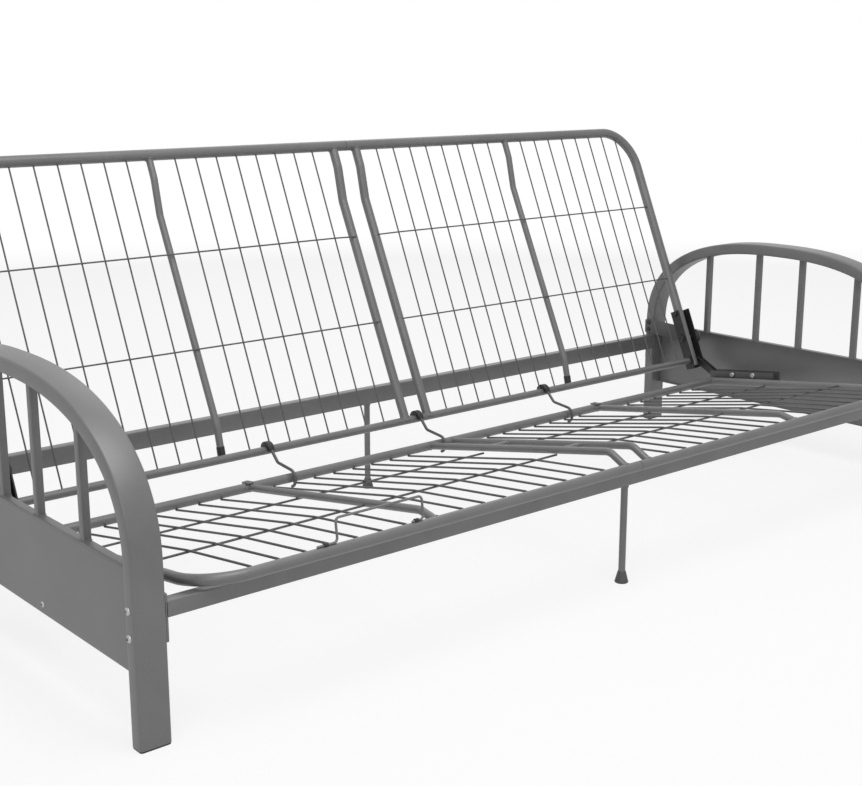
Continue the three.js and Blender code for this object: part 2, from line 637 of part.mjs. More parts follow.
// Long wires run from under the rear tube to the top of the front tube, crowned at the front cross wire
// and more so towards the middle. Cross wires lie under them, the front one coped to the mid tube.
function seatWireMesh(sign) {
  const lap = SEAT_TUBE_RADIUS + WELD_GAP + WIRE_RADIUS;
  const [, crownAt] = SEAT_CROSS_WIRES;
  const { inner, outer } = SEAT_WIRE_CROWN;
  const crown = (x) => inner + ((outer - inner) * x) / seatSideX;
  const height = (x, along) => ((crown(x) + lap) * along) / crownAt - lap;
  const long = wireXs(SEAT_OUTER_BAY_X, seatSideX - SEAT_CORNER_RADIUS).map((x) => wire(
    new THREE.Vector3(sign * x, 0, -lap),
    new THREE.Vector3(sign * x, -crownAt, crown(x)),
    new THREE.Vector3(sign * x, -SEAT_LENGTH, lap),
  ));
  const ends = [INNER_TUBE_X - SEAT_SUPPORT_RADIUS, seatSideX - SEAT_TUBE_RADIUS - WELD_GAP];
  const across = SEAT_CROSS_WIRES.map((along) => wire(
    ...ends.map((x) => new THREE.Vector3(sign * x, -along, height(x, along) - wireStack)),
  ));
  const midTube = roundRod(
    SEAT_SUPPORT_RADIUS + WELD_GAP, seatSupportRun(sign * MID_TUBE_X, SEAT_MID_RISE), SUPPORT_SIDES,
  );
  return cut(join(...long, ...across), midTube);
}

function seatChannel(sign) {
  const innerX = seatChannelInnerX;
  const { from, to, below, above } = SEAT_CHANNEL;
  const body = prism('Y', channelOutline(sign, innerX, below, above), -from, -to);
  const bore = pin(LINK_PIN_RADIUS + WELD_GAP, sign * linkInnerX, sign * linkOuterX, 0, 0);
  const { alongs, out } = SEAT_CHANNEL_BOLTS;
  const heads = alongs.map((along) => (
    pin(SMALL_HEAD_RADIUS, sign * (innerX - BOLT_HEAD_HEIGHT), sign * (innerX + 1), -along, out, 6)
  ));
  return join(cut(body, bore), ...heads);
}

function mattressRetainer() {
  const { fromX, toX, height, wireRadius, bend } = RETAINER;
  const hoop = roundRod(wireRadius, bentRun([
    new THREE.Vector3(fromX, -SEAT_LENGTH, 0),
    new THREE.Vector3(fromX, -SEAT_LENGTH, height),
    new THREE.Vector3(toX, -SEAT_LENGTH, height),
    new THREE.Vector3(toX, -SEAT_LENGTH, 0),
  ], bend));
  return cut(hoop, coping(SEAT_TUBE_RADIUS, -SEAT_LENGTH));
}

for (const { name, sign } of sides) {
  place(seat, `seat_outer_tube_${name}`, outerTube(sign, -1, seatDeck), looks.tube);
  const rearEnd = seatSideX - SEAT_TUBE_RADIUS - WELD_GAP;
  place(seat, `seat_rear_tube_${name}`, crossTube(sign, SEAT_TUBE_RADIUS, rearEnd), looks.tube);
  place(seat, `seat_mid_tube_${name}`, seatSupport(sign * MID_TUBE_X, SEAT_MID_RISE), looks.tube);
  const inner = seatSupport(sign * INNER_TUBE_X, SEAT_INNER_RISE);
  const spacers = sign < 0 ? SEAT_SPACERS.map(spacer) : [];
  place(seat, `seat_inner_tube_${name}`, join(inner, ...spacers), looks.tube);
  place(seat, `seat_wire_mesh_${name}`, seatWireMesh(sign), looks.wire);
  place(seat, `seat_channel_${name}`, seatChannel(sign), looks.channel);
}
place(seat, 'seat_mattress_retainer', mattressRetainer(), looks.tube);

// ---- Links between the back's lower tube and the seat's rear tube ----

const links = slopedGroup(frame, backLower, LINK_ANGLE);

// Two flat bars on a common pin at each end, one bar on each side of the channels' outer walls.
function sideLink(sign) {
  const outline = [
    ...circle(LINK_HALF_WIDTH, 20).slice(0, 6),
    ...circle(LINK_HALF_WIDTH, 20, -LINK_LENGTH).slice(5, 16),
    ...circle(LINK_HALF_WIDTH, 20).slice(15),
  ];
  const bar = (x) => prism('X', outline, sign * x, sign * (x + LINK_BAR));
  const pins = [0, -LINK_LENGTH].map((y) => (
    pin(LINK_PIN_RADIUS, sign * (linkInnerX + 1), sign * (linkOuterX + 1), y, 0)
  ));
  return join(bar(linkInnerX), bar(linkOuterX), ...pins);
}

function arc(x, center, radius, from, to) {
  const steps = Math.ceil(Math.abs(to - from) / HOOK_STEP);
  return Array.from({ length: steps + 1 }, (_, i) => {
    const angle = from + ((to - from) * i) / steps;
    return new THREE.Vector3(x, center + radius * Math.cos(angle), radius * Math.sin(angle));
  });
}

// A Z of rod: it wraps over the back's lower tube, drops to an elbow, runs forward over the seat's rear
// tube and down round its front. Angles are the link's own, counted from its end on the back.
function sHook(x) {
  const backWrap = BACK_LOWER_RADIUS + HOOK_BACK_CLEARANCE + HOOK_WIRE_RADIUS;
  const seatWrap = SEAT_TUBE_RADIUS + HOOK_SEAT_CLEARANCE + HOOK_WIRE_RADIUS;
  const { backFrom, backTo, seatFrom, seatTo } = HOOK_TURNS;
  const overBack = arc(x, 0, backWrap, backFrom, backTo);
  const roundSeat = arc(x, -LINK_LENGTH, seatWrap, seatFrom, seatTo);
  const leave = overBack[overBack.length - 1];
  const meet = roundSeat[0];
  // The elbow is where the two tangents cross.
  const [downY, downZ] = [-Math.sin(backTo), Math.cos(backTo)];
  const [aheadY, aheadZ] = [-Math.sin(seatFrom), Math.cos(seatFrom)];
  const cross = downY * aheadZ - downZ * aheadY;
  const drop = ((meet.y - leave.y) * aheadZ - (meet.z - leave.z) * aheadY) / cross;
  const elbow = new THREE.Vector3(x, leave.y + drop * downY, leave.z + drop * downZ);
  const crossing = bentRun([leave, elbow, meet], HOOK_ELBOW_RADIUS);
  return roundRod(HOOK_WIRE_RADIUS, [...overBack, ...crossing.slice(1, -1), ...roundSeat], 6);
}

for (const { name, sign } of sides) {
  place(links, `side_link_${name}`, sideLink(sign), looks.channel);
}
const hookNames = ['left', 'center', 'right'];
hookNames.forEach((name, index) => {
  const x = (index - 1) * (INNER_BAY_FIRST_X + WIRE_PITCH * HOOK_BESIDE_WIRE.index + HOOK_BESIDE_WIRE.offset);
  place(links, `s_hook_${name}`, sHook(x), looks.channel);
});

export default futon;
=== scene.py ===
"""Finishes a folding metal futon frame: its tubes, sheets, wires, bolts and welds, around its CAD model.

The file is laid out as an add-on. Lengths are metres in the CAD model's own frame: X runs along the seat,
the sitter faces -Y and Z is up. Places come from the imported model's joints and from its parts' boxes.
"""
import json
import math

import bmesh
import bpy
from bpy.props import FloatProperty, FloatVectorProperty, PointerProperty
from mathutils import Matrix, Vector


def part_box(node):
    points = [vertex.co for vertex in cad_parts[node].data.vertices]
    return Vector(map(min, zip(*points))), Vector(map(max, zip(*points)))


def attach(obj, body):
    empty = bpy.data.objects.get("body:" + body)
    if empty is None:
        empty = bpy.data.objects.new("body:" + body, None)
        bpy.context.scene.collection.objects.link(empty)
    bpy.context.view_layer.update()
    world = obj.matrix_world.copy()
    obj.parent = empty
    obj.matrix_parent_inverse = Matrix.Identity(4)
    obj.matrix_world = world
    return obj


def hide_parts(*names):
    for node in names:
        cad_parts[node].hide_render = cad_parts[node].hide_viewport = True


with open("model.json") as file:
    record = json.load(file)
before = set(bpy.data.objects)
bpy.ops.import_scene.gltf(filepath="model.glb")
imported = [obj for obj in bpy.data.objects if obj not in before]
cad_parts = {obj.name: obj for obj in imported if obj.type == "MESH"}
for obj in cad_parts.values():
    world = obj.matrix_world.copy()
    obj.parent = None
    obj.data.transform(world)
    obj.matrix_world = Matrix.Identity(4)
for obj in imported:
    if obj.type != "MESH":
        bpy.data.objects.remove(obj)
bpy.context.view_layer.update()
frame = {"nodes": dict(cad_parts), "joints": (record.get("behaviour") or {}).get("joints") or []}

bl_info = {
    "name": "Futon Sofa Bed Frame",
    "version": (1, 0, 0),
    "blender": (4, 5, 0),
    "location": "View3D > Sidebar > Futon",
    "description": "Builds the finished pieces of a folding metal futon frame around its CAD model",
    "category": "Object",
}

MM = 0.001
SIDES = {"left": -1, "right": 1}
X_AXIS, Y_AXIS, Z_AXIS = Vector((1, 0, 0)), Vector((0, 1, 0)), Vector((0, 0, 1))

# Small parts. A radius and a height are those of the head, and a place is measured as its comment says.
HALF_GAP = 0.5 * MM  # each half of a deck stops this far from the middle
SUNK = 1 * MM  # how far a wire's end runs into the tube that it is welded to
HEAD = 4 * MM  # height of the bolt heads on the fold mechanism
CHANNEL_BOLT_RADIUS, PIVOT_BOLT_RADIUS, PIVOT_SHANK, PIVOT_WASHER = 7 * MM, 9 * MM, 5 * MM, 1.1 * MM
LEG_BOLT_RADIUS, APRON_BOLT_RADIUS, APRON_BOLT_HEIGHT = 6 * MM, 5 * MM, 2 * MM
HINGE_SHEET, HINGE_BOSS, HINGE_CORNER = 4 * MM, 18 * MM, 5 * MM
HINGE_BOLT_RADIUS, HINGE_BOLT_HEIGHT = 5.6 * MM, 3 * MM
HINGE_BOLT_RISES = (10 * MM, 28 * MM)  # above the plate's lower edge
BACK_BOLT_PLACE = 123 * MM  # up the back
SEAT_BOLT_PLACES, SEAT_BOLT_OUT = (55 * MM, 116 * MM), 16 * MM  # along the seat, and above it
CENTER_LEG_RADIUS, CENTER_NUT_RADIUS, CENTER_NUT_HEIGHT = 6.4 * MM, 8.4 * MM, 5 * MM
CENTER_FOOT = ((11.8, 0), (12.6, 0.8), (12.6, 2.8), (12.0, 3.8), (7.7, 20.4), (7.1, 21.6), (6.5, 22))
HOOK_TURNS = [math.radians(a) for a in (-67, 108, 69, 222)]  # both wraps' ends, back tube first
HOOK_BACK_GAP, HOOK_SEAT_GAP, HOOK_ELBOW = 0.6 * MM, 4.6 * MM, 12 * MM
CLIP_WIDTH, CLIP_THICKNESS, CLIP_CORNER, CLIP_LIFT = 13 * MM, 4 * MM, 1.6 * MM, 2.2 * MM
HOOP_BEND, HOOP_CLIP_HALF = 7 * MM, 4 * MM
LUG_WIDTH, LUG_LENGTH, LUG_THICKNESS = 15 * MM, 24 * MM, 2 * MM

# ---- Where the CAD model says that things are ----

JOINTS = {joint["name"]: joint for joint in frame["joints"]}
PIVOT = Vector(JOINTS["back_fold"]["pos_m"])
BACK_FOOT = Vector(JOINTS["link_swing"]["pos_m"])
SEAT_TAIL = Vector(JOINTS["seat_tilt"]["pos_m"])
BACK_SLOPE = math.radians(JOINTS["back_fold"]["range_deg"][1])
LINK_SLOPE = math.atan2(BACK_FOOT.z - SEAT_TAIL.z, BACK_FOOT.y - SEAT_TAIL.y)
SEAT_SLOPE = math.radians(JOINTS["seat_tilt"]["range_deg"][1]) - LINK_SLOPE
LINK_LENGTH = (BACK_FOOT - SEAT_TAIL).length

# Each deck's own space: Y up its slope, Z out of it towards the sitter. The links' runs along the link.
BACK_SPACE = Matrix.Translation(BACK_FOOT) @ Matrix.Rotation(BACK_SLOPE, 4, "X")
SEAT_SPACE = Matrix.Translation(SEAT_TAIL) @ Matrix.Rotation(-SEAT_SLOPE, 4, "X")
LINK_SPACE = Matrix.Translation(BACK_FOOT) @ Matrix.Rotation(LINK_SLOPE, 4, "X")
ROOM_SPACE = Matrix.Identity(4)


def in_space(space, node):
    """Lowest and highest corner of a CAD node, measured in a deck's own space."""
    turn = space.inverted()
    points = [turn @ vertex.co for vertex in frame["nodes"][node].data.vertices]
    return (Vector([min(p[k] for p in points) for k in range(3)]),
            Vector([max(p[k] for p in points) for k in range(3)]))


def linear(code):
    """An sRGB hex colour as the linear values that a shader takes."""
    shares = [int(code[i:i + 2], 16) / 255 for i in (0, 2, 4)]
    return tuple(s / 12.92 if s <= 0.04045 else ((s + 0.055) / 1.055) ** 2.4 for s in shares)


def length(name, description, millimetres):
    return FloatProperty(name=name, description=description, default=millimetres * MM, unit="LENGTH",
                         subtype="DISTANCE", precision=4)


def colour(name, description, code):
    return FloatVectorProperty(name=name, description=description, default=linear(code), subtype="COLOR",
                               size=3, min=0, max=1)


class FutonSizes(bpy.types.PropertyGroup):
    """Sizes of the sections, bends and fasteners that the CAD model's boxes don't give."""

    arm_width: length("Arm tube width", "Width of the flat side of the arm tube", 50)
    arm_thickness: length("Arm tube thickness", "Thickness of the arm tube in the plane of the arch", 26)
    arm_corner: length("Arm tube corner", "Outer corner radius of the rectangular arm tube", 4.5)
    arm_spring: length("Arch spring height", "Height at which the legs start to bend inwards", 256)
    arm_power: FloatProperty(name="Arch fullness", default=2.47, min=2, max=4,
                             description="Exponent of the arch curve: 2 is an ellipse, more is squarer")
    bar_corner: length("Spindle corner", "Outer corner radius of the square spindles", 1.6)
    sheet: length("Apron sheet", "Thickness of the pressed sheet under the spindles", 2)
    fold: length("Apron fold", "Inner radius of the fold at the top of the apron", 3)
    apron_recess: length("Apron recess", "Distance of the apron behind the arm tube's outer face", 13.5)
    apron_drop: length("Apron drop", "Distance of the apron's fold below the top of the CAD sheet", 7.5)
    apron_lower: length("Apron lower edge", "Distance of its lower edge below the CAD sheet's", 11)
    apron_flange: length("Apron flange", "Width of the fold that carries the spindles", 17)
    apron_bolt_from_middle: length("Apron bolt offset", "Distance of its bolt from the arm's middle", 75)
    apron_bolt_rise: length("Apron bolt rise", "Height of the apron bolt over the sheet's lower edge", 17.6)
    apron_hem: length("Apron hem", "Width of the lip under the apron", 10)
    leg_bolt_depth: length("Leg bolt depth", "Distance of the leg bolts behind the leg's front face", 16)
    leg_bolt_end: length("Leg bolt end distance", "Distance of the leg bolts from the plate's ends", 16)
    rail_corner: length("Rail corner", "Outer corner radius of the rectangular rails", 2.2)
    rail_front_height: length("Front rail height", "Height of the front rail's section", 25)
    rail_rear_height: length("Rear rail height", "Height of the rear rail's section", 36)
    rail_plate: length("Rail end plate", "Thickness of the plates at the rails' ends", 4)
    rail_plate_set: length("Rail plate set-back", "Distance of the plates behind the rail's face", 0)
    back_tube: length("Back tube radius", "Radius of the back's outer tube", 11)
    back_lower: length("Back lower tube radius", "Radius of the back's lower tube", 8)
    back_inner: length("Back inner tube radius", "Radius of the back's twin inner tubes", 9.5)
    back_mid: length("Back middle tube radius", "Radius of the back's two middle tubes", 7)
    back_corner: length("Back corner bend", "Bend radius of the back's top corners", 95)
    back_set: length("Back support set-back", "Depth of the support tubes' jog behind the mesh", 13)
    mid_foot_along: length("Middle tube foot", "Distance of its end up the back from the lower tube", 2)
    mid_foot_set: length("Middle tube foot set-back", "Depth of its end behind the mesh", 13)
    mid_knee_along: length("Middle tube knee", "Distance up the back where its foot kicks backwards", 65)
    mid_knee_set: length("Middle tube knee set-back", "Depth of the knee behind the mesh", 1.7)
    mid_sleeve: length("Middle tube sleeve", "Length of the dark section at its end", 24)
    back_jog_start: length("Back jog start", "Distance up the back where the jog begins", 490)
    back_jog_end: length("Back jog end", "Distance up the back where the jog ends", 560)
    seat_tube: length("Seat tube radius", "Radius of the seat's outer and rear tubes", 9)
    seat_support: length("Seat support radius", "Radius of the seat's inner and middle tubes", 7)
    back_cross_low: length("Back lower cross wire", "Distance of the lower cross wire up the back", 216)
    back_cross_high: length("Back upper cross wire", "Distance of the upper cross wire up the back", 406)
    back_outer_first: length("Back outer bay", "Distance of the outer bay's first wire from the middle", 521)
    seat_corner: length("Seat corner bend", "Bend radius of the seat's front corners", 77)
    seat_mid_rise: length("Seat middle rise", "Height that the middle tubes climb above the seat", 14)
    seat_inner_rise: length("Seat inner rise", "Height that the twin inner tubes climb above the seat", 28)
    seat_bend: length("Seat support bend", "Distance forward at which the supports turn down", 507)
    seat_cross_rear: length("Seat rear cross wire", "Distance of the rear cross wire from the rear tube", 160)
    seat_cross_front: length("Seat front cross wire", "Distance of the front wire from the rear tube", 365)
    seat_crown_inner: length("Seat crown inside", "Height of the mesh's crown at the middle", 13)
    seat_crown_outer: length("Seat crown outside", "Height of the mesh's crown at the side tube", 7)
    seat_outer_first: length("Seat outer bay", "Distance of the outer bay's first wire from the middle", 531)
    seat_spacer_rear: length("Seat rear spacer", "Distance of the rear spacer from the rear tube", 180)
    seat_spacer_front: length("Seat front spacer", "Distance of the front spacer from the rear tube", 380)
    spacer: length("Spacer radius", "Radius of the spacers between the twin tubes", 5)
    small_bend: length("Small bend", "Bend radius of the jogs in the support tubes", 28)
    wire: length("Wire radius", "Radius of the seat's mesh wires", 2)
    back_wire: length("Back wire radius", "Radius of the back's mesh wires", 1.6)
    wire_end: length("Wire end", "Distance of the seat wires' ends behind the front tube's middle", 4)
    pitch: length("Wire pitch", "Spacing of the long wires", 47)
    inner_first: length("First inner wire", "Distance of the first inner wire from the middle", 86)
    channel_sheet: length("Channel sheet", "Thickness of the pressed channels", 3)
    link_bar: length("Link bar", "Thickness of each side link bar", 4)
    hook_rod: length("Hook rod radius", "Radius of the S-hooks' rod", 3)
    retainer_wire: length("Retainer wire radius", "Radius of the mattress retainer's wire", 2)
    retainer_foot: length("Retainer foot", "Length of the retainer's feet along the front tube", 36)
    bead: length("Weld bead", "Half-width of a weld bead", 2.2)


class FutonColours(bpy.types.PropertyGroup):
    """Colours of the finishes, as they look in plain light."""

    tube: colour("Tube coat", "Gunmetal powder coat on the tubes", "707071")
    # The sheet coat is the tube coat painted a little paler: painted light.
    apron: colour("Sheet coat", "Gunmetal powder coat on the pressed sheet", "747475")
    # The wire coat is the tube coat painted darker: painted shade.
    wire: colour("Wire coat", "Gunmetal powder coat on the thin wires", "555556")
    black: colour("Black steel", "Black coat on the fold mechanism", "2a2a2b")
    runner: colour("Dark steel", "Dark coat on the seat's side channels", "545455")
    bolt: colour("Dark bolt", "Black oxide on the bolts of the fold mechanism", "3a3a3b")
    zinc: colour("Zinc", "Zinc plating on the bolts", "b4b4b5")
    cap: colour("Black plastic", "Moulded caps and clips", "202021")
    foot: colour("Grey plastic", "Moulded feet of the centre legs", "4b4b4c")
    floor: colour("Floor", "Matt studio floor", "f6f6f6")


class FutonStage(bpy.types.PropertyGroup):
    """Where the camera stands and how strong the studio light is."""

    eye: FloatVectorProperty(name="Camera place", description="Where the camera stands", size=3,
                             default=(-1.8075, -1.9912, 0.928), subtype="TRANSLATION", unit="LENGTH")
    heading: FloatProperty(name="Camera heading", description="Turn to the right of straight ahead",
                           default=math.radians(40.31), subtype="ANGLE")
    dip: FloatProperty(name="Camera dip", description="Tilt below the horizon",
                       default=math.radians(13.51), subtype="ANGLE")
    lens: FloatProperty(name="Lens", description="Focal length", default=57.81, unit="CAMERA")
    key: FloatProperty(name="Key light", description="Power of the large lamp overhead", default=54,
                       unit="POWER", min=0)
    rear: FloatProperty(name="Rear light", description="Power of the lamp behind", default=18,
                        unit="POWER", min=0)
    front: FloatProperty(name="Front light", description="Power of the lamp beside the camera", default=12,
                         unit="POWER", min=0)
    fill: FloatProperty(name="Fill light", description="Strength of the even light all round",
                        default=0.42, min=0)
    lift: FloatProperty(name="Floor lift", description="Share of plain white in the floor as it is seen",
                        default=0.78, min=0, max=1)


# ---- Making shapes ----

class Form:
    """The points and faces of one piece, gathered before they become its mesh."""

    def __init__(self):
        self.points = []
        self.faces = []

    def skin(self, rings, closed=False):
        """Joins rings of equally many points, and caps both ends unless the run closes on itself."""
        base, count = len(self.points), len(rings[0])
        for ring in rings:
            self.points.extend(ring)
        spans = len(rings) if closed else len(rings) - 1
        for i in range(spans):
            near, far = base + i * count, base + ((i + 1) % len(rings)) * count
            for j in range(count):
                k = (j + 1) % count
                self.faces.append((near + j, near + k, far + k, far + j))
        if not closed:
            self.faces.append(tuple(range(base + count - 1, base - 1, -1)))
            last = base + (len(rings) - 1) * count
            self.faces.append(tuple(range(last, last + count)))
        return self


def circle(radius, count):
    return [(radius * math.cos(2 * math.pi * i / count), radius * math.sin(2 * math.pi * i / count))
            for i in range(count)]


def rounded_box(width, height, corner, steps=4):
    """Outline of a rectangle about the origin with rounded corners."""
    outline = []
    for quarter, (sx, sy) in enumerate(((1, 1), (-1, 1), (-1, -1), (1, -1))):
        for i in range(steps + 1):
            angle = (quarter + i / steps) * math.pi / 2
            outline.append((sx * (width / 2 - corner) + corner * math.cos(angle),
                            sy * (height / 2 - corner) + corner * math.sin(angle)))
    return outline


def shrunk(outline, by):
    """The outline moved inwards by a distance, for a broken edge."""
    area = sum(a[0] * b[1] - b[0] * a[1] for a, b in zip(outline, outline[1:] + outline[:1]))
    hand = 1 if area > 0 else -1
    moved = []
    for i, here in enumerate(outline):
        before, after = outline[i - 1], outline[(i + 1) % len(outline)]
        into = Vector((here[0] - before[0], here[1] - before[1])).normalized()
        away = Vector((after[0] - here[0], after[1] - here[1])).normalized()
        inward = Vector((-(into.y + away.y), into.x + away.x)) * hand
        inward.normalize()
        slant = max(inward.dot(Vector((-into.y, into.x)) * hand), 0.5)
        moved.append((here[0] + inward.x * by / slant, here[1] + inward.y * by / slant))
    return moved


def bent(corners, radius, step=math.radians(6)):
    """Straight lines between corners, with every inner corner rounded to the bend radius."""
    stations = [corners[0]]
    for before, here, after in zip(corners, corners[1:], corners[2:]):
        into, away = (here - before).normalized(), (after - here).normalized()
        turn = into.angle(away)
        start = here - into * radius * math.tan(turn / 2)
        inward = (away - into * into.dot(away)).normalized()
        count = max(2, math.ceil(turn / step))
        for i in range(count + 1):
            angle = turn * i / count
            stations.append(start + into * radius * math.sin(angle) + inward * radius * (1 - math.cos(angle)))
    stations.append(corners[-1])
    return stations


def along(stations, outline, side, closed=False, swell=None):
    """Rings of an outline swept along stations. The outline's first axis keeps to the side direction, and
    swell gives each ring's scale. Side is one direction, or one for each station."""
    rings = []
    for i, here in enumerate(stations):
        ways = []
        if closed or i > 0:
            ways.append((here - stations[i - 1]).normalized())
        if closed or i < len(stations) - 1:
            ways.append((stations[(i + 1) % len(stations)] - here).normalized())
        heading = sum(ways, Vector()).normalized()
        towards = side if isinstance(side, Vector) else side[i]
        across = (towards - heading * towards.dot(heading)).normalized()
        up = heading.cross(across)
        mitre = 1 / max(math.cos(ways[0].angle(ways[-1]) / 2), 0.5)
        size = swell[i] if swell else 1
        rings.append([here + across * a * size + up * b * size * mitre for a, b in outline])
    return rings


def rod(form, stations, radius, side, count=24, rounded=False):
    """A round bar along stations, with domed ends where it isn't cut square."""
    swell = [1.0] * len(stations)
    if rounded:
        first = (stations[0] - stations[1]).normalized()
        last = (stations[-1] - stations[-2]).normalized()
        dome = [math.radians(a) for a in (35, 62, 80)]
        stations = ([stations[0] + first * radius * math.sin(a) for a in reversed(dome)] + list(stations)
                    + [stations[-1] + last * radius * math.sin(a) for a in dome])
        swell = [math.cos(a) for a in reversed(dome)] + swell + [math.cos(a) for a in dome]
    return form.skin(along(stations, circle(radius, count), side, swell=swell))


def turned(form, base, axis, profile, count=24):
    """A body of revolution; the profile gives radius and height over the base along the axis."""
    axis = axis.normalized()
    u = axis.orthogonal().normalized()
    v = axis.cross(u)
    spokes = [u * math.cos(2 * math.pi * i / count) + v * math.sin(2 * math.pi * i / count)
              for i in range(count)]
    return form.skin([[base + axis * rise + spoke * radius for spoke in spokes] for radius, rise in profile])


def plate(form, outline, low, high, spread, edge=0.4 * MM):
    """A flat sheet between two heights, with its edges broken; spread turns (a, b, height) to a point."""
    inner = shrunk(outline, edge)
    levels = ((inner, low), (outline, low + edge), (outline, high - edge), (inner, high))
    return form.skin([[spread(a, b, level) for a, b in ring] for ring, level in levels])


def level_in_y(sign):
    """Spreads a section given in Z and X to one side of the frame, with its levels along Y."""
    return lambda z, x, y: Vector((sign * x, y, z))


def level_in_x(sign):
    """Spreads a section given in Y and Z to one side of the frame, with its levels along X."""
    return lambda y, z, x: Vector((sign * x, y, z))


def strip(path, thickness):
    """Outline of bent sheet of one thickness, from the middle line of its section."""
    left, right = [], []
    for i, here in enumerate(path):
        ways = []
        if i > 0:
            ways.append((here - path[i - 1]).normalized())
        if i < len(path) - 1:
            ways.append((path[i + 1] - here).normalized())
        heading = (ways[0] + ways[-1]).normalized()
        off = Vector((-heading.y, heading.x, 0)) * thickness / 2 / max(heading.dot(ways[0]), 0.5)
        left.append((here.x + off.x, here.y + off.y))
        right.append((here.x - off.x, here.y - off.y))
    return left + right[::-1]


def hex_head(form, base, axis, radius, height, washer=0.0):
    """A hexagon head with chamfered corners, on a washer where one is given."""
    axis = axis.normalized()
    if washer:
        wide, rim = radius * 1.28, 0.3 * MM
        profile = [(wide - rim, 0), (wide, rim), (wide, washer - rim), (wide - rim, washer)]
        turned(form, base, axis, profile, 28)
        base = base + axis * washer
        height -= washer
    flat = radius * math.cos(math.pi / 6)
    u = axis.orthogonal().normalized()
    v = axis.cross(u)
    levels = ((radius * 0.97, flat * 0.97, 0), (radius, flat, height * 0.08), (radius, flat, height * 0.66),
              (radius * 0.93, flat, height * 0.84), (flat * 0.93, flat * 0.93, height))
    rings = []
    for corner, side, rise in levels:
        ring = []
        for i in range(12):
            angle, reach = math.pi * i / 6, (corner if i % 2 == 0 else side)
            ring.append(base + axis * rise + (u * math.cos(angle) + v * math.sin(angle)) * reach)
        rings.append(ring)
    form.skin(rings)
    return form


def button_head(form, base, axis, radius, height):
    """A domed head with a six-sided key hole."""
    dome = [(radius * math.cos(a), height * math.sin(a)) for a in
            (math.radians(d) for d in (0, 18, 36, 52, 64))]
    key = radius * 0.42
    turned(form, base, axis, [(radius * 0.97, 0)] + dome + [(key, height * 0.93), (key, height * 0.3)], 24)
    return form


def bead(form, stations, outward, half_width, closed=True):
    """A weld bead: a low ridge that follows a seam and swells and shrinks as it was laid."""
    ripple = [1 + 0.16 * math.sin(i * 2.2) + 0.06 * math.sin(i * 0.9 + 1) for i in range(len(stations))]
    return form.skin(along(stations, circle(half_width, 8), outward, closed, ripple), closed)


def ring_bead(form, foot, branch, branch_radius, main, main_radius, half_width, count=30):
    """A bead round the seam where a branch tube meets the main tube; foot is where their axes cross."""
    branch, main = branch.normalized(), main.normalized()
    first = (main - branch * main.dot(branch)).normalized()
    second = branch.cross(first)
    stations, outward = [], []
    flat = branch - main * branch.dot(main)
    for i in range(count):
        angle = 2 * math.pi * i / count
        spoke = first * math.cos(angle) + second * math.sin(angle)
        start = spoke * branch_radius
        level = start - main * start.dot(main)
        a, b, c = flat.length_squared, level.dot(flat), level.length_squared - main_radius ** 2
        reach = (-b + math.sqrt(max(b * b - a * c, 0))) / a
        stations.append(foot + start + branch * reach)
        outward.append(spoke)
    return bead(form, stations, outward, half_width)


def box_bead(form, middle, axis, width, height, corner, half_width):
    """A bead round a rectangular tube where it stands on a plate or another tube."""
    side = X_AXIS if abs(axis.dot(X_AXIS)) < 0.5 else Y_AXIS
    other = axis.cross(side)
    stations, outward = [], []
    outline = rounded_box(width, height, corner, 3)
    for i, (a, b) in enumerate(outline):
        after = outline[(i + 1) % len(outline)]
        parts = max(1, round(math.dist((a, b), after) / (1.6 * half_width)))
        for j in range(parts):
            x, y = a + (after[0] - a) * j / parts, b + (after[1] - b) * j / parts
            stations.append(middle + side * x + other * y)
            outward.append(axis)
    return bead(form, stations, outward, half_width)


def blob(form, middle, axis, radius, half_length, count=10):
    """A small rounded lump, such as a spot weld's nugget."""
    turned(form, middle, axis, [(radius * math.cos(math.radians(a)), half_length * math.sin(math.radians(a)))
                                for a in (-75, -50, -22, 0, 22, 50, 75)], count)


def add_piece(name, form, space, material, body, slot, *nodes, sharp=math.radians(38)):
    """Makes the object, gives it its finish and hands it to the frame."""
    mesh = bpy.data.meshes.new(name)
    mesh.from_pydata([space @ point for point in form.points], [], form.faces)
    shell = bmesh.new()
    shell.from_mesh(mesh)
    bmesh.ops.recalc_face_normals(shell, faces=shell.faces)
    shell.to_mesh(mesh)
    shell.free()
    mesh.shade_smooth()
    mesh.set_sharp_from_angle(angle=sharp)
    mesh.materials.append(material)
    piece = bpy.data.objects.new(name, mesh)
    bpy.context.scene.collection.objects.link(piece)
    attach(piece, body)
    if nodes:
        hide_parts(*nodes)
    return piece


# ---- Finishes ----

def add_node(tree, kind, inputs=None, **settings):
    """Adds one node with its settings, its constant inputs and its links."""
    node = tree.nodes.new(kind)
    for name, value in settings.items():
        setattr(node, name, value)
    for socket, value in (inputs or {}).items():
        if isinstance(value, bpy.types.NodeSocket):
            tree.links.new(value, node.inputs[socket])
        else:
            node.inputs[socket].default_value = value
    return node


def per_metre(millimetres):
    """Noise scale at which one feature is about this many millimetres across."""
    return 1 / (millimetres * MM)


def combined(tree, operation, first, second):
    return add_node(tree, "ShaderNodeMath", {0: first, 1: second}, operation=operation).outputs[0]


def shaded(colour, factor):
    return (*(min(channel * factor, 1) for channel in colour), 1)


def fresh(name):
    material = bpy.data.materials.new(name)
    material.use_nodes = True
    tree = material.node_tree
    tree.nodes.clear()
    output = add_node(tree, "ShaderNodeOutputMaterial")
    return material, tree, output


def noise(tree, place, millimetres, detail=2.0, roughness=0.5):
    return add_node(tree, "ShaderNodeTexNoise", {
        "Vector": place, "Scale": per_metre(millimetres), "Detail": detail, "Roughness": roughness,
    }).outputs["Fac"]


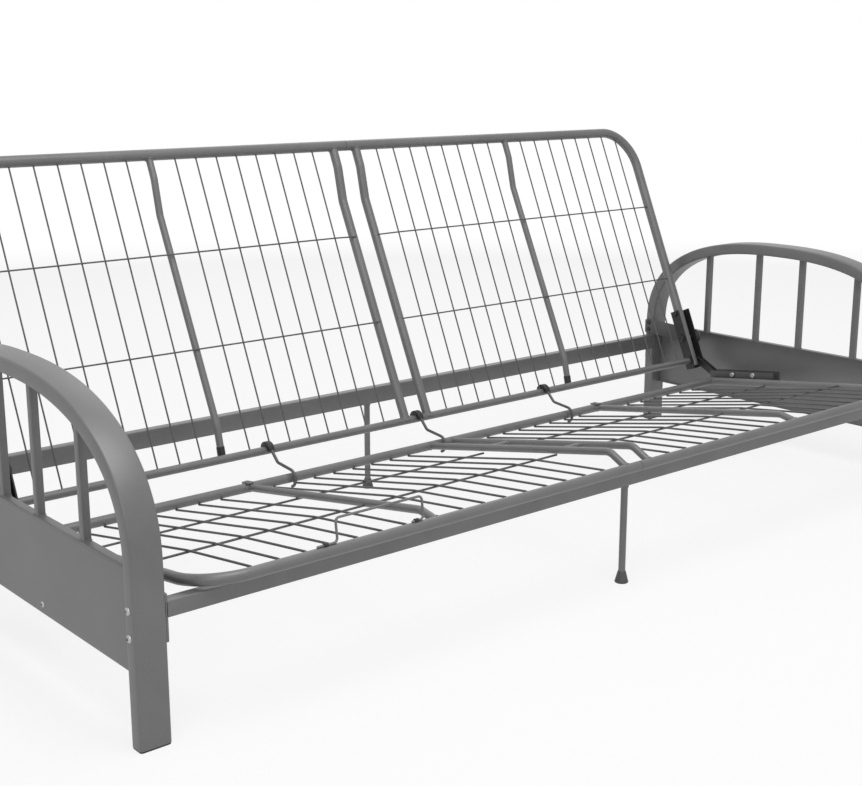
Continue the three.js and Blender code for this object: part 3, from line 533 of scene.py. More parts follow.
def finish(name, colour, low, high, grit, relief, spread, metallic, rough, ior=None):
    """A coated, plated or moulded surface: two tones mixed by a fine grain and a broad unevenness, a
    roughness that varies with the grain, and a shallow relief of the same grain."""
    material, tree, output = fresh(name)
    place = add_node(tree, "ShaderNodeTexCoord").outputs["Object"]
    fine = noise(tree, place, grit, 3.0, 0.6)
    broad = noise(tree, place, spread, 2.0)
    mixed = combined(tree, "ADD", fine, broad)
    share = add_node(tree, "ShaderNodeMapRange", {
        "Value": mixed, "From Min": 0.72, "From Max": 1.28,
    }).outputs["Result"]
    tone = add_node(tree, "ShaderNodeMix", {
        "Factor": share, 6: shaded(colour, low), 7: shaded(colour, high),
    }, data_type="RGBA").outputs[2]
    rough_here = add_node(tree, "ShaderNodeMapRange", {
        "Value": fine, "From Min": 0.3, "From Max": 0.7, "To Min": rough[0], "To Max": rough[1],
    }).outputs["Result"]
    bump = add_node(tree, "ShaderNodeBump", {
        "Height": fine, "Distance": relief * MM, "Strength": 0.6,
    }).outputs["Normal"]
    settings = {"Base Color": tone, "Roughness": rough_here, "Normal": bump, "Metallic": metallic}
    if ior:
        settings["IOR"] = ior
    shader = add_node(tree, "ShaderNodeBsdfPrincipled", settings)
    tree.links.new(shader.outputs[0], output.inputs["Surface"])
    return material


# For each look: the material's name and slot, its dark and light tone, the grain in mm, the relief in mm, the
# unevenness in mm, how metallic it is and its least and most roughness.
LOOKS = {
    # Polyester powder with metal flake, baked on tube: a satin sheen, a fine sparkle and a faint orange peel.
    # The flake is really 0.05 mm and is drawn at 1.4 mm to show.
    "tube": ("powder_coated_steel_tube", "coated_tube", 0.90, 1.10, 1.4, 0.05, 90, 0.25, (0.34, 0.46)),
    # The same powder on flat pressed sheet, painted a little paler than on the tube: painted light on its
    # broad face, with slow waves.
    "apron": ("powder_coated_pressed_sheet", "coated_sheet", 0.92, 1.08, 1.6, 0.05, 160, 0.25, (0.38, 0.5)),
    # The same powder on drawn wire, painted darker than on the tube as painted shade on the thin wires, and a
    # little drier.
    "wire": ("powder_coated_drawn_wire", "coated_wire", 0.84, 1.14, 1.6, 0.04, 60, 0.25, (0.42, 0.56)),
    # Black stove enamel on pressed steel: deep and slightly uneven.
    "black": ("black_enamelled_pressed_steel", "black_steel", 0.75, 1.35, 2.0, 0.05, 30, 0.3, (0.36, 0.55)),
    # The same enamel thinned to a dark grey, on the seat's channels and the hinge plates.
    "runner": ("grey_enamelled_pressed_steel", "black_steel", 0.8, 1.25, 2.0, 0.05, 40, 0.3, (0.36, 0.52)),
    # Black oxide on cold-formed bolts: a dark satin metal with fine forming marks.
    "bolt": ("black_oxide_cold_formed_steel", "zinc_steel", 0.8, 1.2, 0.9, 0.02, 8, 0.8, (0.3, 0.45)),
    # Bright zinc plating on cold-formed bolts: a clean grey metal with fine forming marks.
    "zinc": ("zinc_plated_cold_formed_steel", "zinc_steel", 0.86, 1.06, 0.9, 0.02, 8, 1.0, (0.22, 0.36)),
    # Moulded polypropylene, black or grey: an even fine texture with a soft shine.
    "cap": ("moulded_black_polypropylene", "glide_plastic", 0.85, 1.2, 0.8, 0.03, 12, 0.0, (0.42, 0.56)),
    "foot": ("moulded_grey_polypropylene", "glide_plastic", 0.88, 1.12, 0.8, 0.03, 12, 0.0, (0.42, 0.56)),
}
PLASTIC_IOR = 1.49


def finishes(colours):
    """All finishes of the frame, made once."""
    made = {}
    for look, (name, slot, *settings) in LOOKS.items():
        ior = PLASTIC_IOR if slot == "glide_plastic" else None
        made[look] = bpy.data.materials.get(name) or finish(name, getattr(colours, look), *settings, ior=ior)
    return made


class Kit:
    """What every piece needs: the sizes, the finishes and the way to hand a piece over."""

    def __init__(self, context):
        self.sizes = context.scene.futon_sizes
        self.looks = finishes(context.scene.futon_colours)

    def add(self, name, form, space, look, body, *nodes):
        return add_piece(name, form, space, self.looks[look], body, LOOKS[look][1], *nodes)


# ---- Arms ----

def arch_shape(sizes, low, high):
    """Middle of the arch, half its span and its rise over the spring line, on the tube's middle line."""
    half_tube = sizes.arm_thickness / 2
    return ((low.y + high.y) / 2, (high.y - low.y) / 2 - half_tube, high.z - sizes.arm_spring - half_tube)


def arm_path(sizes, x, low, high):
    """Middle line of the arm tube: up the front leg, over the arch and down the rear leg."""
    middle, reach, rise = arch_shape(sizes, low, high)
    arch = []
    count = 84
    for i in range(count + 1):
        across = math.cos(math.pi * i / count)
        share = math.copysign(abs(across) ** (2 / sizes.arm_power), across)
        lift = rise * max(1 - abs(share) ** sizes.arm_power, 0) ** (1 / sizes.arm_power)
        arch.append(Vector((x, middle - reach * share, sizes.arm_spring + lift)))
    return [Vector((x, middle - reach, low.z))] + arch + [Vector((x, middle + reach, low.z))]


def arch_height(sizes, y, low, high):
    middle, reach, rise = arch_shape(sizes, low, high)
    share = min(abs(y - middle) / reach, 1)
    return sizes.arm_spring + rise * (1 - share ** sizes.arm_power) ** (1 / sizes.arm_power)


def build_arm(kit, side, sign):
    sizes = kit.sizes
    low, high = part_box(f"arm_tube_{side}")
    inner_x = min(abs(low.x), abs(high.x))
    outer_x = inner_x + sizes.arm_width
    middle_x = sign * (inner_x + outer_x) / 2
    outline = rounded_box(sizes.arm_width, sizes.arm_thickness, sizes.arm_corner)
    tube = Form().skin(along(arm_path(sizes, middle_x, low, high), outline, X_AXIS))
    kit.add(f"arm_bow_{side}", tube, ROOM_SPACE, "tube", "frame", f"arm_tube_{side}")

    rail_low, rail_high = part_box("front_rail")
    bolts = Form()
    bolt_y = low.y + sizes.leg_bolt_depth
    proud = max(abs(low.x), abs(high.x)) - outer_x
    for height in (rail_low.z + sizes.leg_bolt_end, rail_high.z - sizes.leg_bolt_end):
        button_head(bolts, Vector((sign * outer_x, bolt_y, height)), X_AXIS * sign, LEG_BOLT_RADIUS, proud)
    apron_low, apron_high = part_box(f"arm_panel_{side}")
    face = outer_x - sizes.apron_recess
    apron_top = apron_high.z - sizes.apron_drop
    apron_foot = apron_low.z - sizes.apron_lower
    bolt_y = (low.y + high.y) / 2 - sizes.apron_bolt_from_middle
    button_head(bolts, Vector((sign * face, bolt_y, apron_foot + sizes.apron_bolt_rise)), X_AXIS * sign,
                APRON_BOLT_RADIUS, APRON_BOLT_HEIGHT)
    kit.add(f"arm_bolts_{side}", bolts, ROOM_SPACE, "zinc", "frame")

    # The apron is one sheet: upright on the outside, folded inwards at the top to carry the spindles and
    # hemmed at the bottom.
    half = sizes.sheet / 2
    fold_path = bent([
        Vector((apron_foot + half, face - sizes.apron_hem, 0)),
        Vector((apron_foot + half, face - half, 0)), Vector((apron_top - half, face - half, 0)),
        Vector((apron_top - half, face - sizes.apron_flange, 0)),
    ], sizes.fold + half, math.radians(15))
    section = strip(fold_path, sizes.sheet)
    apron = plate(Form(), section, apron_low.y, apron_high.y, level_in_y(sign), 0.3 * MM)
    kit.add(f"arm_apron_{side}", apron, ROOM_SPACE, "apron", "frame", f"arm_panel_{side}")

    for index in range(1, 5):
        bar_low, bar_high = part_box(f"arm_spindle_{side}_{index}")
        centre = (bar_low + bar_high) / 2
        size = bar_high.y - bar_low.y
        top = arch_height(sizes, centre.y, low, high) - sizes.arm_thickness * 0.3
        foot = Vector((centre.x, centre.y, apron_top))
        bar = Form().skin(along([foot, Vector((centre.x, centre.y, top))],
                                rounded_box(size, size, sizes.bar_corner, 3), X_AXIS))
        box_bead(bar, foot + Z_AXIS * 0.3 * MM, Z_AXIS, size, size, sizes.bar_corner, 1.1 * MM)
        kit.add(f"arm_bar_{side}_{index}", bar, ROOM_SPACE, "tube", "frame", f"arm_spindle_{side}_{index}")

    for end in ("front", "rear"):
        node = f"leg_glide_{side}_{end}"
        cap_low, cap_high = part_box(node)
        centre = (cap_low + cap_high) / 2
        size = cap_high - cap_low
        cap = Form()
        outline = rounded_box(size.x, size.y, sizes.arm_corner)
        plate(cap, outline, 0, low.z, lambda a, b, z: Vector((centre.x + a, centre.y + b, z)), 0.8 * MM)
        kit.add(f"foot_cap_{side}_{end}", cap, ROOM_SPACE, "cap", "frame", node)


# ---- Rails and centre legs ----

def build_rail(kit, end):
    sizes = kit.sizes
    low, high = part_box(f"{end}_rail")
    overhang = 2 * MM
    leg_low, leg_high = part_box(f"{end}_center_leg")
    bottom = leg_high.z
    height = sizes.rail_front_height if end == "front" else sizes.rail_rear_height
    depth = high.y - low.y - 2 * overhang
    centre_y, centre_z = (low.y + high.y) / 2, bottom + height / 2
    inset = 1 * MM
    beam = Form().skin(along([Vector((low.x + inset, centre_y, centre_z)),
                              Vector((high.x - inset, centre_y, centre_z))],
                             rounded_box(depth, height, sizes.rail_corner), Y_AXIS))
    front = low.y + overhang + sizes.rail_plate_set
    for sign in SIDES.values():
        inner = high.x - sizes.rail_plate
        outline = [((front + high.y) / 2 + a, (low.z + high.z) / 2 + b) for a, b in
                   rounded_box(high.y - front, high.z - low.z, 3 * MM)]
        plate(beam, outline, inner, high.x, level_in_x(sign))
        box_bead(beam, Vector((sign * (high.x - inset), centre_y, centre_z)), X_AXIS, depth, height,
                 sizes.rail_corner, sizes.bead * 0.6)
    kit.add(f"rail_{end}", beam, ROOM_SPACE, "tube", "frame", f"{end}_rail")

    base = Vector(((leg_low.x + leg_high.x) / 2, (leg_low.y + leg_high.y) / 2, 0))
    leg = Form()
    turned(leg, base, Z_AXIS,
           [(CENTER_LEG_RADIUS, 10 * MM), (CENTER_LEG_RADIUS, bottom - CENTER_NUT_HEIGHT)], 28)
    hex_head(leg, base + Z_AXIS * bottom, -Z_AXIS, CENTER_NUT_RADIUS, CENTER_NUT_HEIGHT)
    # The moulded foot is a plain cone with a narrow rim.
    foot = Form()
    turned(foot, base, Z_AXIS, [(r * MM, z * MM) for r, z in CENTER_FOOT], 32)
    kit.add(f"center_leg_{end}", leg, ROOM_SPACE, "tube", "frame", f"{end}_center_leg")
    kit.add(f"center_foot_{end}", foot, ROOM_SPACE, "foot", "frame")


# ---- Hinge plates and pivot bolts ----

def build_hinge(kit, side, sign):
    sizes = kit.sizes
    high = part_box(f"hinge_plate_{side}")[1]
    arm_inner = min(abs(corner.x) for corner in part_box(f"arm_tube_{side}"))
    sheet, boss = HINGE_SHEET, HINGE_BOSS
    leg_bottom, leg_rear = max(high.z - 2 * boss, PIVOT.z - boss), high.y
    outline = []
    for i in range(13):
        angle = math.radians(90 + 180 * i / 12)
        outline.append((PIVOT.y + boss * math.cos(angle), PIVOT.z + boss * math.sin(angle)))
    corners = [Vector((PIVOT.y, PIVOT.z - boss, 0)), Vector((leg_rear, leg_bottom, 0)),
               Vector((leg_rear, high.z, 0)), Vector((PIVOT.y, PIVOT.z + boss, 0))]
    rounded = bent(corners, HINGE_CORNER, math.radians(18))
    outline += [(p.x, p.y) for p in rounded[1:-1]]
    form = plate(Form(), outline, arm_inner - sheet, arm_inner, level_in_x(sign))
    # A pressed collar stiffens the hole that the pivot bolt turns in.
    turned(form, Vector((sign * (arm_inner - sheet), PIVOT.y, PIVOT.z)), X_AXIS * -sign,
           [(12.5 * MM, 0), (12 * MM, 0.8 * MM), (10.5 * MM, 1.2 * MM)], 32)
    kit.add(f"hinge_bracket_{side}", form, ROOM_SPACE, "runner", "frame", f"hinge_plate_{side}")
    bolts = Form()
    bolt_y = leg_rear - sizes.arm_thickness / 2 + 1 * MM
    for rise in HINGE_BOLT_RISES:
        hex_head(bolts, Vector((sign * (arm_inner - sheet), bolt_y, leg_bottom + rise)), X_AXIS * -sign,
                 HINGE_BOLT_RADIUS, HINGE_BOLT_HEIGHT)
    kit.add(f"hinge_bolts_{side}", bolts, ROOM_SPACE, "bolt", "frame")

    bolt_low, bolt_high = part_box(f"pivot_bolt_{side}")
    near, far = sorted((abs(bolt_low.x), abs(bolt_high.x)))
    pivot = Form()
    inner_face, outer_face = (Vector((sign * x, PIVOT.y, PIVOT.z)) for x in (near + HEAD, far - HEAD))
    hex_head(pivot, inner_face, X_AXIS * -sign, PIVOT_BOLT_RADIUS, HEAD, PIVOT_WASHER)
    hex_head(pivot, outer_face, X_AXIS * sign, PIVOT_BOLT_RADIUS, HEAD)
    turned(pivot, inner_face, X_AXIS * sign, [(PIVOT_SHANK, 0), (PIVOT_SHANK, far - near - 2 * HEAD)], 24)
    kit.add(f"pivot_{side}", pivot, ROOM_SPACE, "bolt", "frame", f"pivot_bolt_{side}")


# ---- Decks ----

def wire_places(sizes, outer_first, last):
    """Distances of the long wires from the middle: the inner bay, then the outer bay as far as it goes."""
    inner = [sizes.inner_first + sizes.pitch * i for i in range(8)]
    count = int((last - outer_first) / sizes.pitch + 0.001) + 1
    return inner + [outer_first + sizes.pitch * i for i in range(count)]


def nugget(form, middle, axis, wire):
    blob(form, middle, axis, wire * 1.2, wire * 1.5, 8)


def end_reach(deck, x):
    """How far along the deck a wire at x meets the end tube, which curves away at its side."""
    past = x - (deck["side_x"] - deck["corner"])
    if past <= 0:
        return deck["length"] - deck["radius"]
    return deck["length"] - deck["corner"] + math.sqrt((deck["corner"] - deck["radius"]) ** 2 - past ** 2)


def build_back_mesh(kit, side, sign, deck, inner_x):
    """Long wires between the lower and the top tube, and cross wires before them, from tube to tube."""
    sizes, wire, form = kit.sizes, kit.sizes.back_wire, Form()
    stack = wire * 1.58
    places = wire_places(sizes, sizes.back_outer_first, deck["side_x"] - deck["radius"] - 5 * wire)
    for x in places:
        first, last = sizes.back_lower, end_reach(deck, x)
        ends = [Vector((sign * x, first - SUNK, 0)), Vector((sign * x, last + SUNK, 0))]
        rod(form, ends, wire, X_AXIS, 10)
        nugget(form, Vector((sign * x, first, 0)), Y_AXIS, wire)
        nugget(form, Vector((sign * x, last, 0)), Y_AXIS, wire)
    for place in (sizes.back_cross_low, sizes.back_cross_high):
        # At the middle the wire leans back to reach the inner tube, which lies behind the mesh there.
        behind = sizes.back_inner - sizes.back_set * place / sizes.back_jog_start
        outer_x = deck["side_x"] - math.sqrt(deck["radius"] ** 2 - stack ** 2)
        ends = [Vector((sign * inner_x, place, min(behind, stack))), Vector((sign * places[0], place, stack)),
                Vector((sign * (outer_x + SUNK), place, stack))]
        rod(form, ends, wire, Y_AXIS, 10)
        nugget(form, ends[0], X_AXIS, wire)
        nugget(form, ends[2] - X_AXIS * sign * SUNK, X_AXIS, wire)
        for x in places:
            if end_reach(deck, x) > place:
                nugget(form, Vector((sign * x, place, stack / 2)), Z_AXIS, wire * 0.9)
    kit.add(f"back_mesh_{side}", form, deck["space"], "wire", "back", f"back_wire_mesh_{side}")


def build_seat_mesh(kit, side, sign, deck, inner_x, mid_x):
    """Crowned long wires from under the rear tube to the top of the front tube, over two cross wires."""
    sizes, wire, form = kit.sizes, kit.sizes.wire, Form()
    stack = wire * 1.58
    lap, crown_at = deck["radius"] + wire * 0.9, sizes.seat_cross_front

    def crown(x):
        share = x / deck["side_x"]
        return sizes.seat_crown_inner * (1 - share) + sizes.seat_crown_outer * share

    def height(x, place):
        return (crown(x) + lap) * place / crown_at - lap

    places = wire_places(sizes, sizes.seat_outer_first, deck["side_x"] - deck["corner"])
    for x in places:
        run = [Vector((sign * x, 0, -lap)), Vector((sign * x, -crown_at, crown(x))),
               Vector((sign * x, sizes.wire_end - deck["length"], deck["radius"] * 0.9))]
        rod(form, run, wire, X_AXIS, 10, rounded=True)
        nugget(form, run[0] + Z_AXIS * wire * 0.8, Z_AXIS, wire * 1.1)
        nugget(form, run[2] - Z_AXIS * wire * 0.8, Z_AXIS, wire * 1.1)
    for place in (sizes.seat_cross_rear, sizes.seat_cross_front):
        outer_z = height(deck["side_x"], place) - stack
        outer_x = deck["side_x"] - math.sqrt(deck["radius"] ** 2 - outer_z ** 2)
        near = inner_x - sizes.seat_support
        ends = [Vector((sign * near, -place, height(near, place) - stack)),
                Vector((sign * (outer_x + SUNK), -place, outer_z))]
        rod(form, ends, wire, Y_AXIS, 10)
        nugget(form, ends[1] - X_AXIS * sign * SUNK, X_AXIS, wire)
        nugget(form, Vector((sign * abs(mid_x), -place, height(abs(mid_x), place) - stack / 2)), Z_AXIS, wire)
        for x in places:
            nugget(form, Vector((sign * x, -place, height(x, place) - stack / 2)), Z_AXIS, wire * 0.9)
    kit.add(f"seat_mesh_{side}", form, deck["space"], "wire", "seat", f"seat_wire_mesh_{side}")


def outer_run(deck, sign):
    heading = deck["heading"]
    return bent([
        Vector((sign * deck["side_x"], -heading * deck["tail"], 0)),
        Vector((sign * deck["side_x"], heading * deck["length"], 0)),
        Vector((sign * HALF_GAP, heading * deck["length"], 0)),
    ], deck["corner"], math.radians(4))


def channel(sizes, inner_x, outer_x, below, above):
    """Section of a pressed U between two upright walls, as height and distance from the middle."""
    half = sizes.channel_sheet / 2
    path = bent([
        Vector((above, inner_x + half, 0)), Vector((half - below, inner_x + half, 0)),
        Vector((half - below, outer_x - half, 0)), Vector((above, outer_x - half, 0)),
    ], 3 * MM, math.radians(15))
    return strip(path, sizes.channel_sheet)


def measure_deck(name, space, heading, radius, corner):
    """Side position, length and tail of a deck, read off its CAD outer tube."""
    low, high = in_space(space, f"{name}_outer_tube_right")
    far = high.y if heading > 0 else -low.y
    tail = -low.y if heading > 0 else high.y
    return {"name": name, "space": space, "heading": heading, "radius": radius, "corner": corner,
            "side_x": high.x - radius, "length": far - radius, "tail": tail}


def support_places(name, space, side, radius):
    """Distances from the middle of a deck's middle and inner support tube."""
    mid_box = in_space(space, f"{name}_mid_tube_{side}")
    inner_box = in_space(space, f"{name}_inner_tube_{side}")
    outer_face = max(abs(inner_box[0].x), abs(inner_box[1].x))
    return abs(mid_box[0].x + mid_box[1].x) / 2, outer_face - radius


def build_rim(kit, deck, side, sign, facets, cross, seam, piece, node):
    """One half of a deck's outer tube, and of the tube that crosses the deck at its hinge end."""
    name, space, radius = deck["name"], deck["space"], deck["radius"]
    outer = rod(Form(), outer_run(deck, sign), radius, Z_AXIS, facets)
    foot = Vector((sign * deck["side_x"], 0, 0))
    ring_bead(outer, foot, X_AXIS * -sign, seam, Y_AXIS, radius, kit.sizes.bead * 0.9)
    kit.add(f"{name}_rim_{side}", outer, space, "tube", name, f"{name}_outer_tube_{side}")

    ends = [Vector((sign * HALF_GAP, 0, 0)), Vector((sign * (deck["side_x"] - radius), 0, 0))]
    tube = rod(Form(), ends, cross, Z_AXIS, 28)
    kit.add(f"{name}_{piece}_{side}", tube, space, "tube", name, f"{name}_{node}_{side}")


def build_back(kit):
    sizes = kit.sizes
    deck = measure_deck("back", BACK_SPACE, 1, sizes.back_tube, sizes.back_corner)
    length_up = deck["length"]
    lean = Vector((0, sizes.back_jog_start, -sizes.back_set))
    for side, sign in SIDES.items():
        build_rim(kit, deck, side, sign, 32, sizes.back_lower, sizes.back_lower, "foot_tube", "lower_tube")
        mid_x, inner_x = support_places("back", BACK_SPACE, side, sizes.back_inner)
        for name, x, radius in (("mid", mid_x, sizes.back_mid), ("inner", inner_x, sizes.back_inner)):
            x *= sign
            start = [Vector((x, 0, 0))]
            if name == "mid":
                # The middle tube's foot kicks backwards, to lie against the back of the lower tube.
                start = [Vector((x, sizes.mid_foot_along, -sizes.mid_foot_set)),
                         Vector((x, sizes.mid_knee_along, -sizes.mid_knee_set))]
            run = bent([
                *start, Vector((x, sizes.back_jog_start, -sizes.back_set)),
                Vector((x, sizes.back_jog_end, 0)), Vector((x, length_up, 0)),
            ], sizes.small_bend)
            tube = rod(Form(), run, radius, X_AXIS, 24)
            if name == "inner":
                ring_bead(tube, start[0], lean, radius, X_AXIS, sizes.back_lower, sizes.bead * 0.8)
            ring_bead(tube, Vector((x, length_up, 0)), -Y_AXIS, radius, X_AXIS, deck["radius"],
                      sizes.bead * 0.8)
            kit.add(f"back_{name}_post_{side}", tube, BACK_SPACE, "tube", "back", f"back_{name}_tube_{side}")
            if name == "mid":
                # A dark sleeve covers the middle tube's end.
                reach = start[0] + (start[1] - start[0]).normalized() * sizes.mid_sleeve
                sleeve = rod(Form(), [start[0], reach], radius + 0.9 * MM, X_AXIS, 24)
                kit.add(f"back_sleeve_{side}", sleeve, BACK_SPACE, "cap", "back")
        build_back_mesh(kit, side, sign, deck, inner_x)
        build_back_channel(kit, side, sign)


def build_back_channel(kit, side, sign):
    sizes = kit.sizes
    low, high = in_space(BACK_SPACE, f"back_channel_{side}")
    near, far = sorted((abs(low.x), abs(high.x)))
    inner_x, outer_x = near + HEAD, far - HEAD
    section = channel(sizes, inner_x, outer_x, -low.z, high.z)
    form = plate(Form(), section, low.y, high.y, level_in_y(sign))
    kit.add(f"back_clasp_{side}", form, BACK_SPACE, "black", "back", f"back_channel_{side}")
    bolts = Form()
    for x, way in ((inner_x, -sign), (outer_x, sign)):
        hex_head(bolts, Vector((sign * x, BACK_BOLT_PLACE, 0)), X_AXIS * way, CHANNEL_BOLT_RADIUS, HEAD)
    kit.add(f"back_clasp_bolts_{side}", bolts, BACK_SPACE, "bolt", "back")


def build_seat(kit):
    sizes = kit.sizes
    deck = measure_deck("seat", SEAT_SPACE, -1, sizes.seat_tube, sizes.seat_corner)
    length_out, radius = deck["length"], sizes.seat_support
    for side, sign in SIDES.items():
        build_rim(kit, deck, side, sign, 28, sizes.seat_tube, sizes.seat_tube * 0.98, "tail_tube",
                  "rear_tube")
        mid_x, inner_x = support_places("seat", SEAT_SPACE, side, radius)
        for name, x, rise in (("mid", mid_x, sizes.seat_mid_rise), ("inner", inner_x, sizes.seat_inner_rise)):
            x *= sign
            corners = [Vector((x, 0, 0)), Vector((x, -sizes.seat_bend, rise)), Vector((x, -length_out, 0))]
            tube = rod(Form(), bent(corners, sizes.small_bend), radius, X_AXIS, 24)
            for end in (corners[0], corners[2]):
                ring_bead(tube, end, corners[1] - end, radius, X_AXIS, deck["radius"], sizes.bead * 0.8)
            if name == "inner" and sign < 0:
                for place in (sizes.seat_spacer_rear, sizes.seat_spacer_front):
                    out = rise * place / sizes.seat_bend
                    ends = [Vector((-inner_x, -place, out)), Vector((inner_x, -place, out))]
                    rod(tube, ends, sizes.spacer, Y_AXIS, 20)
                    for end, way in zip(ends, (X_AXIS, -X_AXIS)):
                        ring_bead(tube, end, way, sizes.spacer, Y_AXIS, radius, sizes.bead * 0.6, 20)
            if name == "mid":
                # A small lug over the rear tube, at the middle tube's end.
                lug = [(x + a, b) for a, b in rounded_box(LUG_WIDTH, LUG_LENGTH, 4 * MM)]
                top = deck["radius"] + LUG_THICKNESS
                plate(tube, lug, deck["radius"] - 1.2 * MM, top, lambda a, b, z: Vector((a, b, z)))
                button_head(tube, Vector((x, 2 * MM, top)), Z_AXIS, 4 * MM, 2 * MM)
            kit.add(f"seat_{name}_post_{side}", tube, SEAT_SPACE, "tube", "seat", f"seat_{name}_tube_{side}")
        build_seat_mesh(kit, side, sign, deck, inner_x, mid_x)
        build_seat_channel(kit, side, sign, deck)
    build_retainer(kit, deck)


def build_seat_channel(kit, side, sign, deck):
    sizes = kit.sizes
    low, high = in_space(SEAT_SPACE, f"seat_channel_{side}")
    inner_x = deck["side_x"] + deck["radius"] + 0.3 * MM
    outer_x = max(abs(low.x), abs(high.x))
    section = channel(sizes, inner_x, outer_x, -low.z, high.z)
    form = plate(Form(), section, low.y, high.y, level_in_y(sign))
    kit.add(f"seat_runner_{side}", form, SEAT_SPACE, "runner", "seat", f"seat_channel_{side}")
    bolts = Form()
    for place in SEAT_BOLT_PLACES:
        hex_head(bolts, Vector((sign * inner_x, -place, SEAT_BOLT_OUT)), X_AXIS * -sign, CHANNEL_BOLT_RADIUS,
                 HEAD)
    kit.add(f"seat_runner_bolts_{side}", bolts, SEAT_SPACE, "zinc", "seat")


def build_retainer(kit, deck):
    """A thin wire hoop on the front tube; its feet lie along the tube and are held by clips."""
    sizes, wire = kit.sizes, kit.sizes.retainer_wire
    low, high = in_space(SEAT_SPACE, "seat_mattress_retainer")
    y, seat_z = -deck["length"], deck["radius"] + wire * 0.8
    left, right, top = low.x + wire, high.x - wire, high.z - wire
    run = [(left - sizes.retainer_foot, seat_z), (left, seat_z), (left, top), (right, top), (right, seat_z),
           (right - sizes.retainer_foot * 0.6, seat_z)]
    hoop = rod(Form(), bent([Vector((x, y, z)) for x, z in run], HOOP_BEND), wire, Y_AXIS, 14, rounded=True)
    kit.add("mattress_hoop", hoop, SEAT_SPACE, "tube", "seat", "seat_mattress_retainer")
    clips = Form()
    for x in (left - sizes.retainer_foot * 0.6, right - sizes.retainer_foot * 0.4):
        turned(clips, Vector((x - HOOP_CLIP_HALF, y, seat_z)), X_AXIS,
               [(wire + r * MM, z * MM) for r, z in ((0.4, 0), (1.6, 0.5), (1.6, 7.5), (0.4, 8))], 14)
    kit.add("mattress_hoop_clips", clips, SEAT_SPACE, "cap", "seat")


# ---- Links ----

def build_side_link(kit, side, sign):
    sizes = kit.sizes
    low, high = in_space(LINK_SPACE, f"side_link_{side}")
    half = (high.z - low.z) / 2
    near, far = sorted((abs(low.x), abs(high.x)))
    outline = [(half * math.cos(math.radians(a)), half * math.sin(math.radians(a))) for a in
               range(-90, 91, 12)]
    outline += [(half * math.cos(math.radians(a)) - LINK_LENGTH, half * math.sin(math.radians(a)))
                for a in range(90, 271, 12)]
    form = Form()
    for x in (near, far - sizes.link_bar):
        plate(form, outline, x, x + sizes.link_bar, level_in_x(sign), 0.6 * MM)
    kit.add(f"side_bar_{side}", form, LINK_SPACE, "black", "links", f"side_link_{side}")
    rivets = Form()
    for y in (0, -LINK_LENGTH):
        turned(rivets, Vector((sign * (near - 0.9 * MM), y, 0)), X_AXIS * sign,
               [(3 * MM, 0), (4.6 * MM, 0.9 * MM), (4 * MM, 1 * MM), (4 * MM, far - near)], 20)
    kit.add(f"side_rivets_{side}", rivets, LINK_SPACE, "bolt", "links")


def hook_arc(x, centre, radius, first, last, count):
    return [Vector((x, centre + radius * math.cos(first + (last - first) * i / count),
                    radius * math.sin(first + (last - first) * i / count))) for i in range(count + 1)]


def build_hook(kit, name):
    """A rod that wraps the back's lower tube, drops to an elbow and hooks over the seat's rear tube."""
    sizes = kit.sizes
    low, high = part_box(f"s_hook_{name}")
    x = (low.x + high.x) / 2
    radius = sizes.hook_rod
    back_wrap = sizes.back_lower + HOOK_BACK_GAP + radius
    seat_wrap = sizes.seat_tube + HOOK_SEAT_GAP + radius
    turns = HOOK_TURNS
    over = hook_arc(x, 0, back_wrap, turns[0], turns[1], 22)
    round_seat = hook_arc(x, -LINK_LENGTH, seat_wrap, turns[2], turns[3], 22)
    leave, meet = over[-1], round_seat[0]
    down = Vector((0, -math.sin(turns[1]), math.cos(turns[1])))
    ahead = Vector((0, -math.sin(turns[2]), math.cos(turns[2])))
    gap = meet - leave
    drop = (gap.y * ahead.z - gap.z * ahead.y) / (down.y * ahead.z - down.z * ahead.y)
    crossing = bent([leave, leave + down * drop, meet], HOOK_ELBOW)
    form = rod(Form(), over + crossing[1:-1] + round_seat, radius, X_AXIS, 18, rounded=True)
    kit.add(f"hook_rod_{name}", form, LINK_SPACE, "wire", "links", f"s_hook_{name}")

    # A moulded clip snaps over the rod and the tube and keeps the hook from sliding.
    clip = Form()
    path = hook_arc(x, 0, sizes.back_lower + radius + CLIP_LIFT, math.radians(-20), math.radians(150), 24)
    swell = [1 - 0.12 * abs(2 * i / 24 - 1) ** 4 for i in range(25)]
    clip.skin(along(path, rounded_box(CLIP_WIDTH, 2 * CLIP_THICKNESS, CLIP_CORNER), X_AXIS, swell=swell))
    kit.add(f"hook_clip_{name}", clip, LINK_SPACE, "cap", "links")


# ---- Stage ----

def seen_ray(tree):
    """1 for the rays that show a thing to the camera, a mirror or through glass, and 0 for its light."""
    rays = add_node(tree, "ShaderNodeLightPath").outputs
    mirrored = combined(tree, "MAXIMUM", rays["Is Camera Ray"], rays["Is Glossy Ray"])
    return combined(tree, "MAXIMUM", mirrored, rays["Is Transmission Ray"])


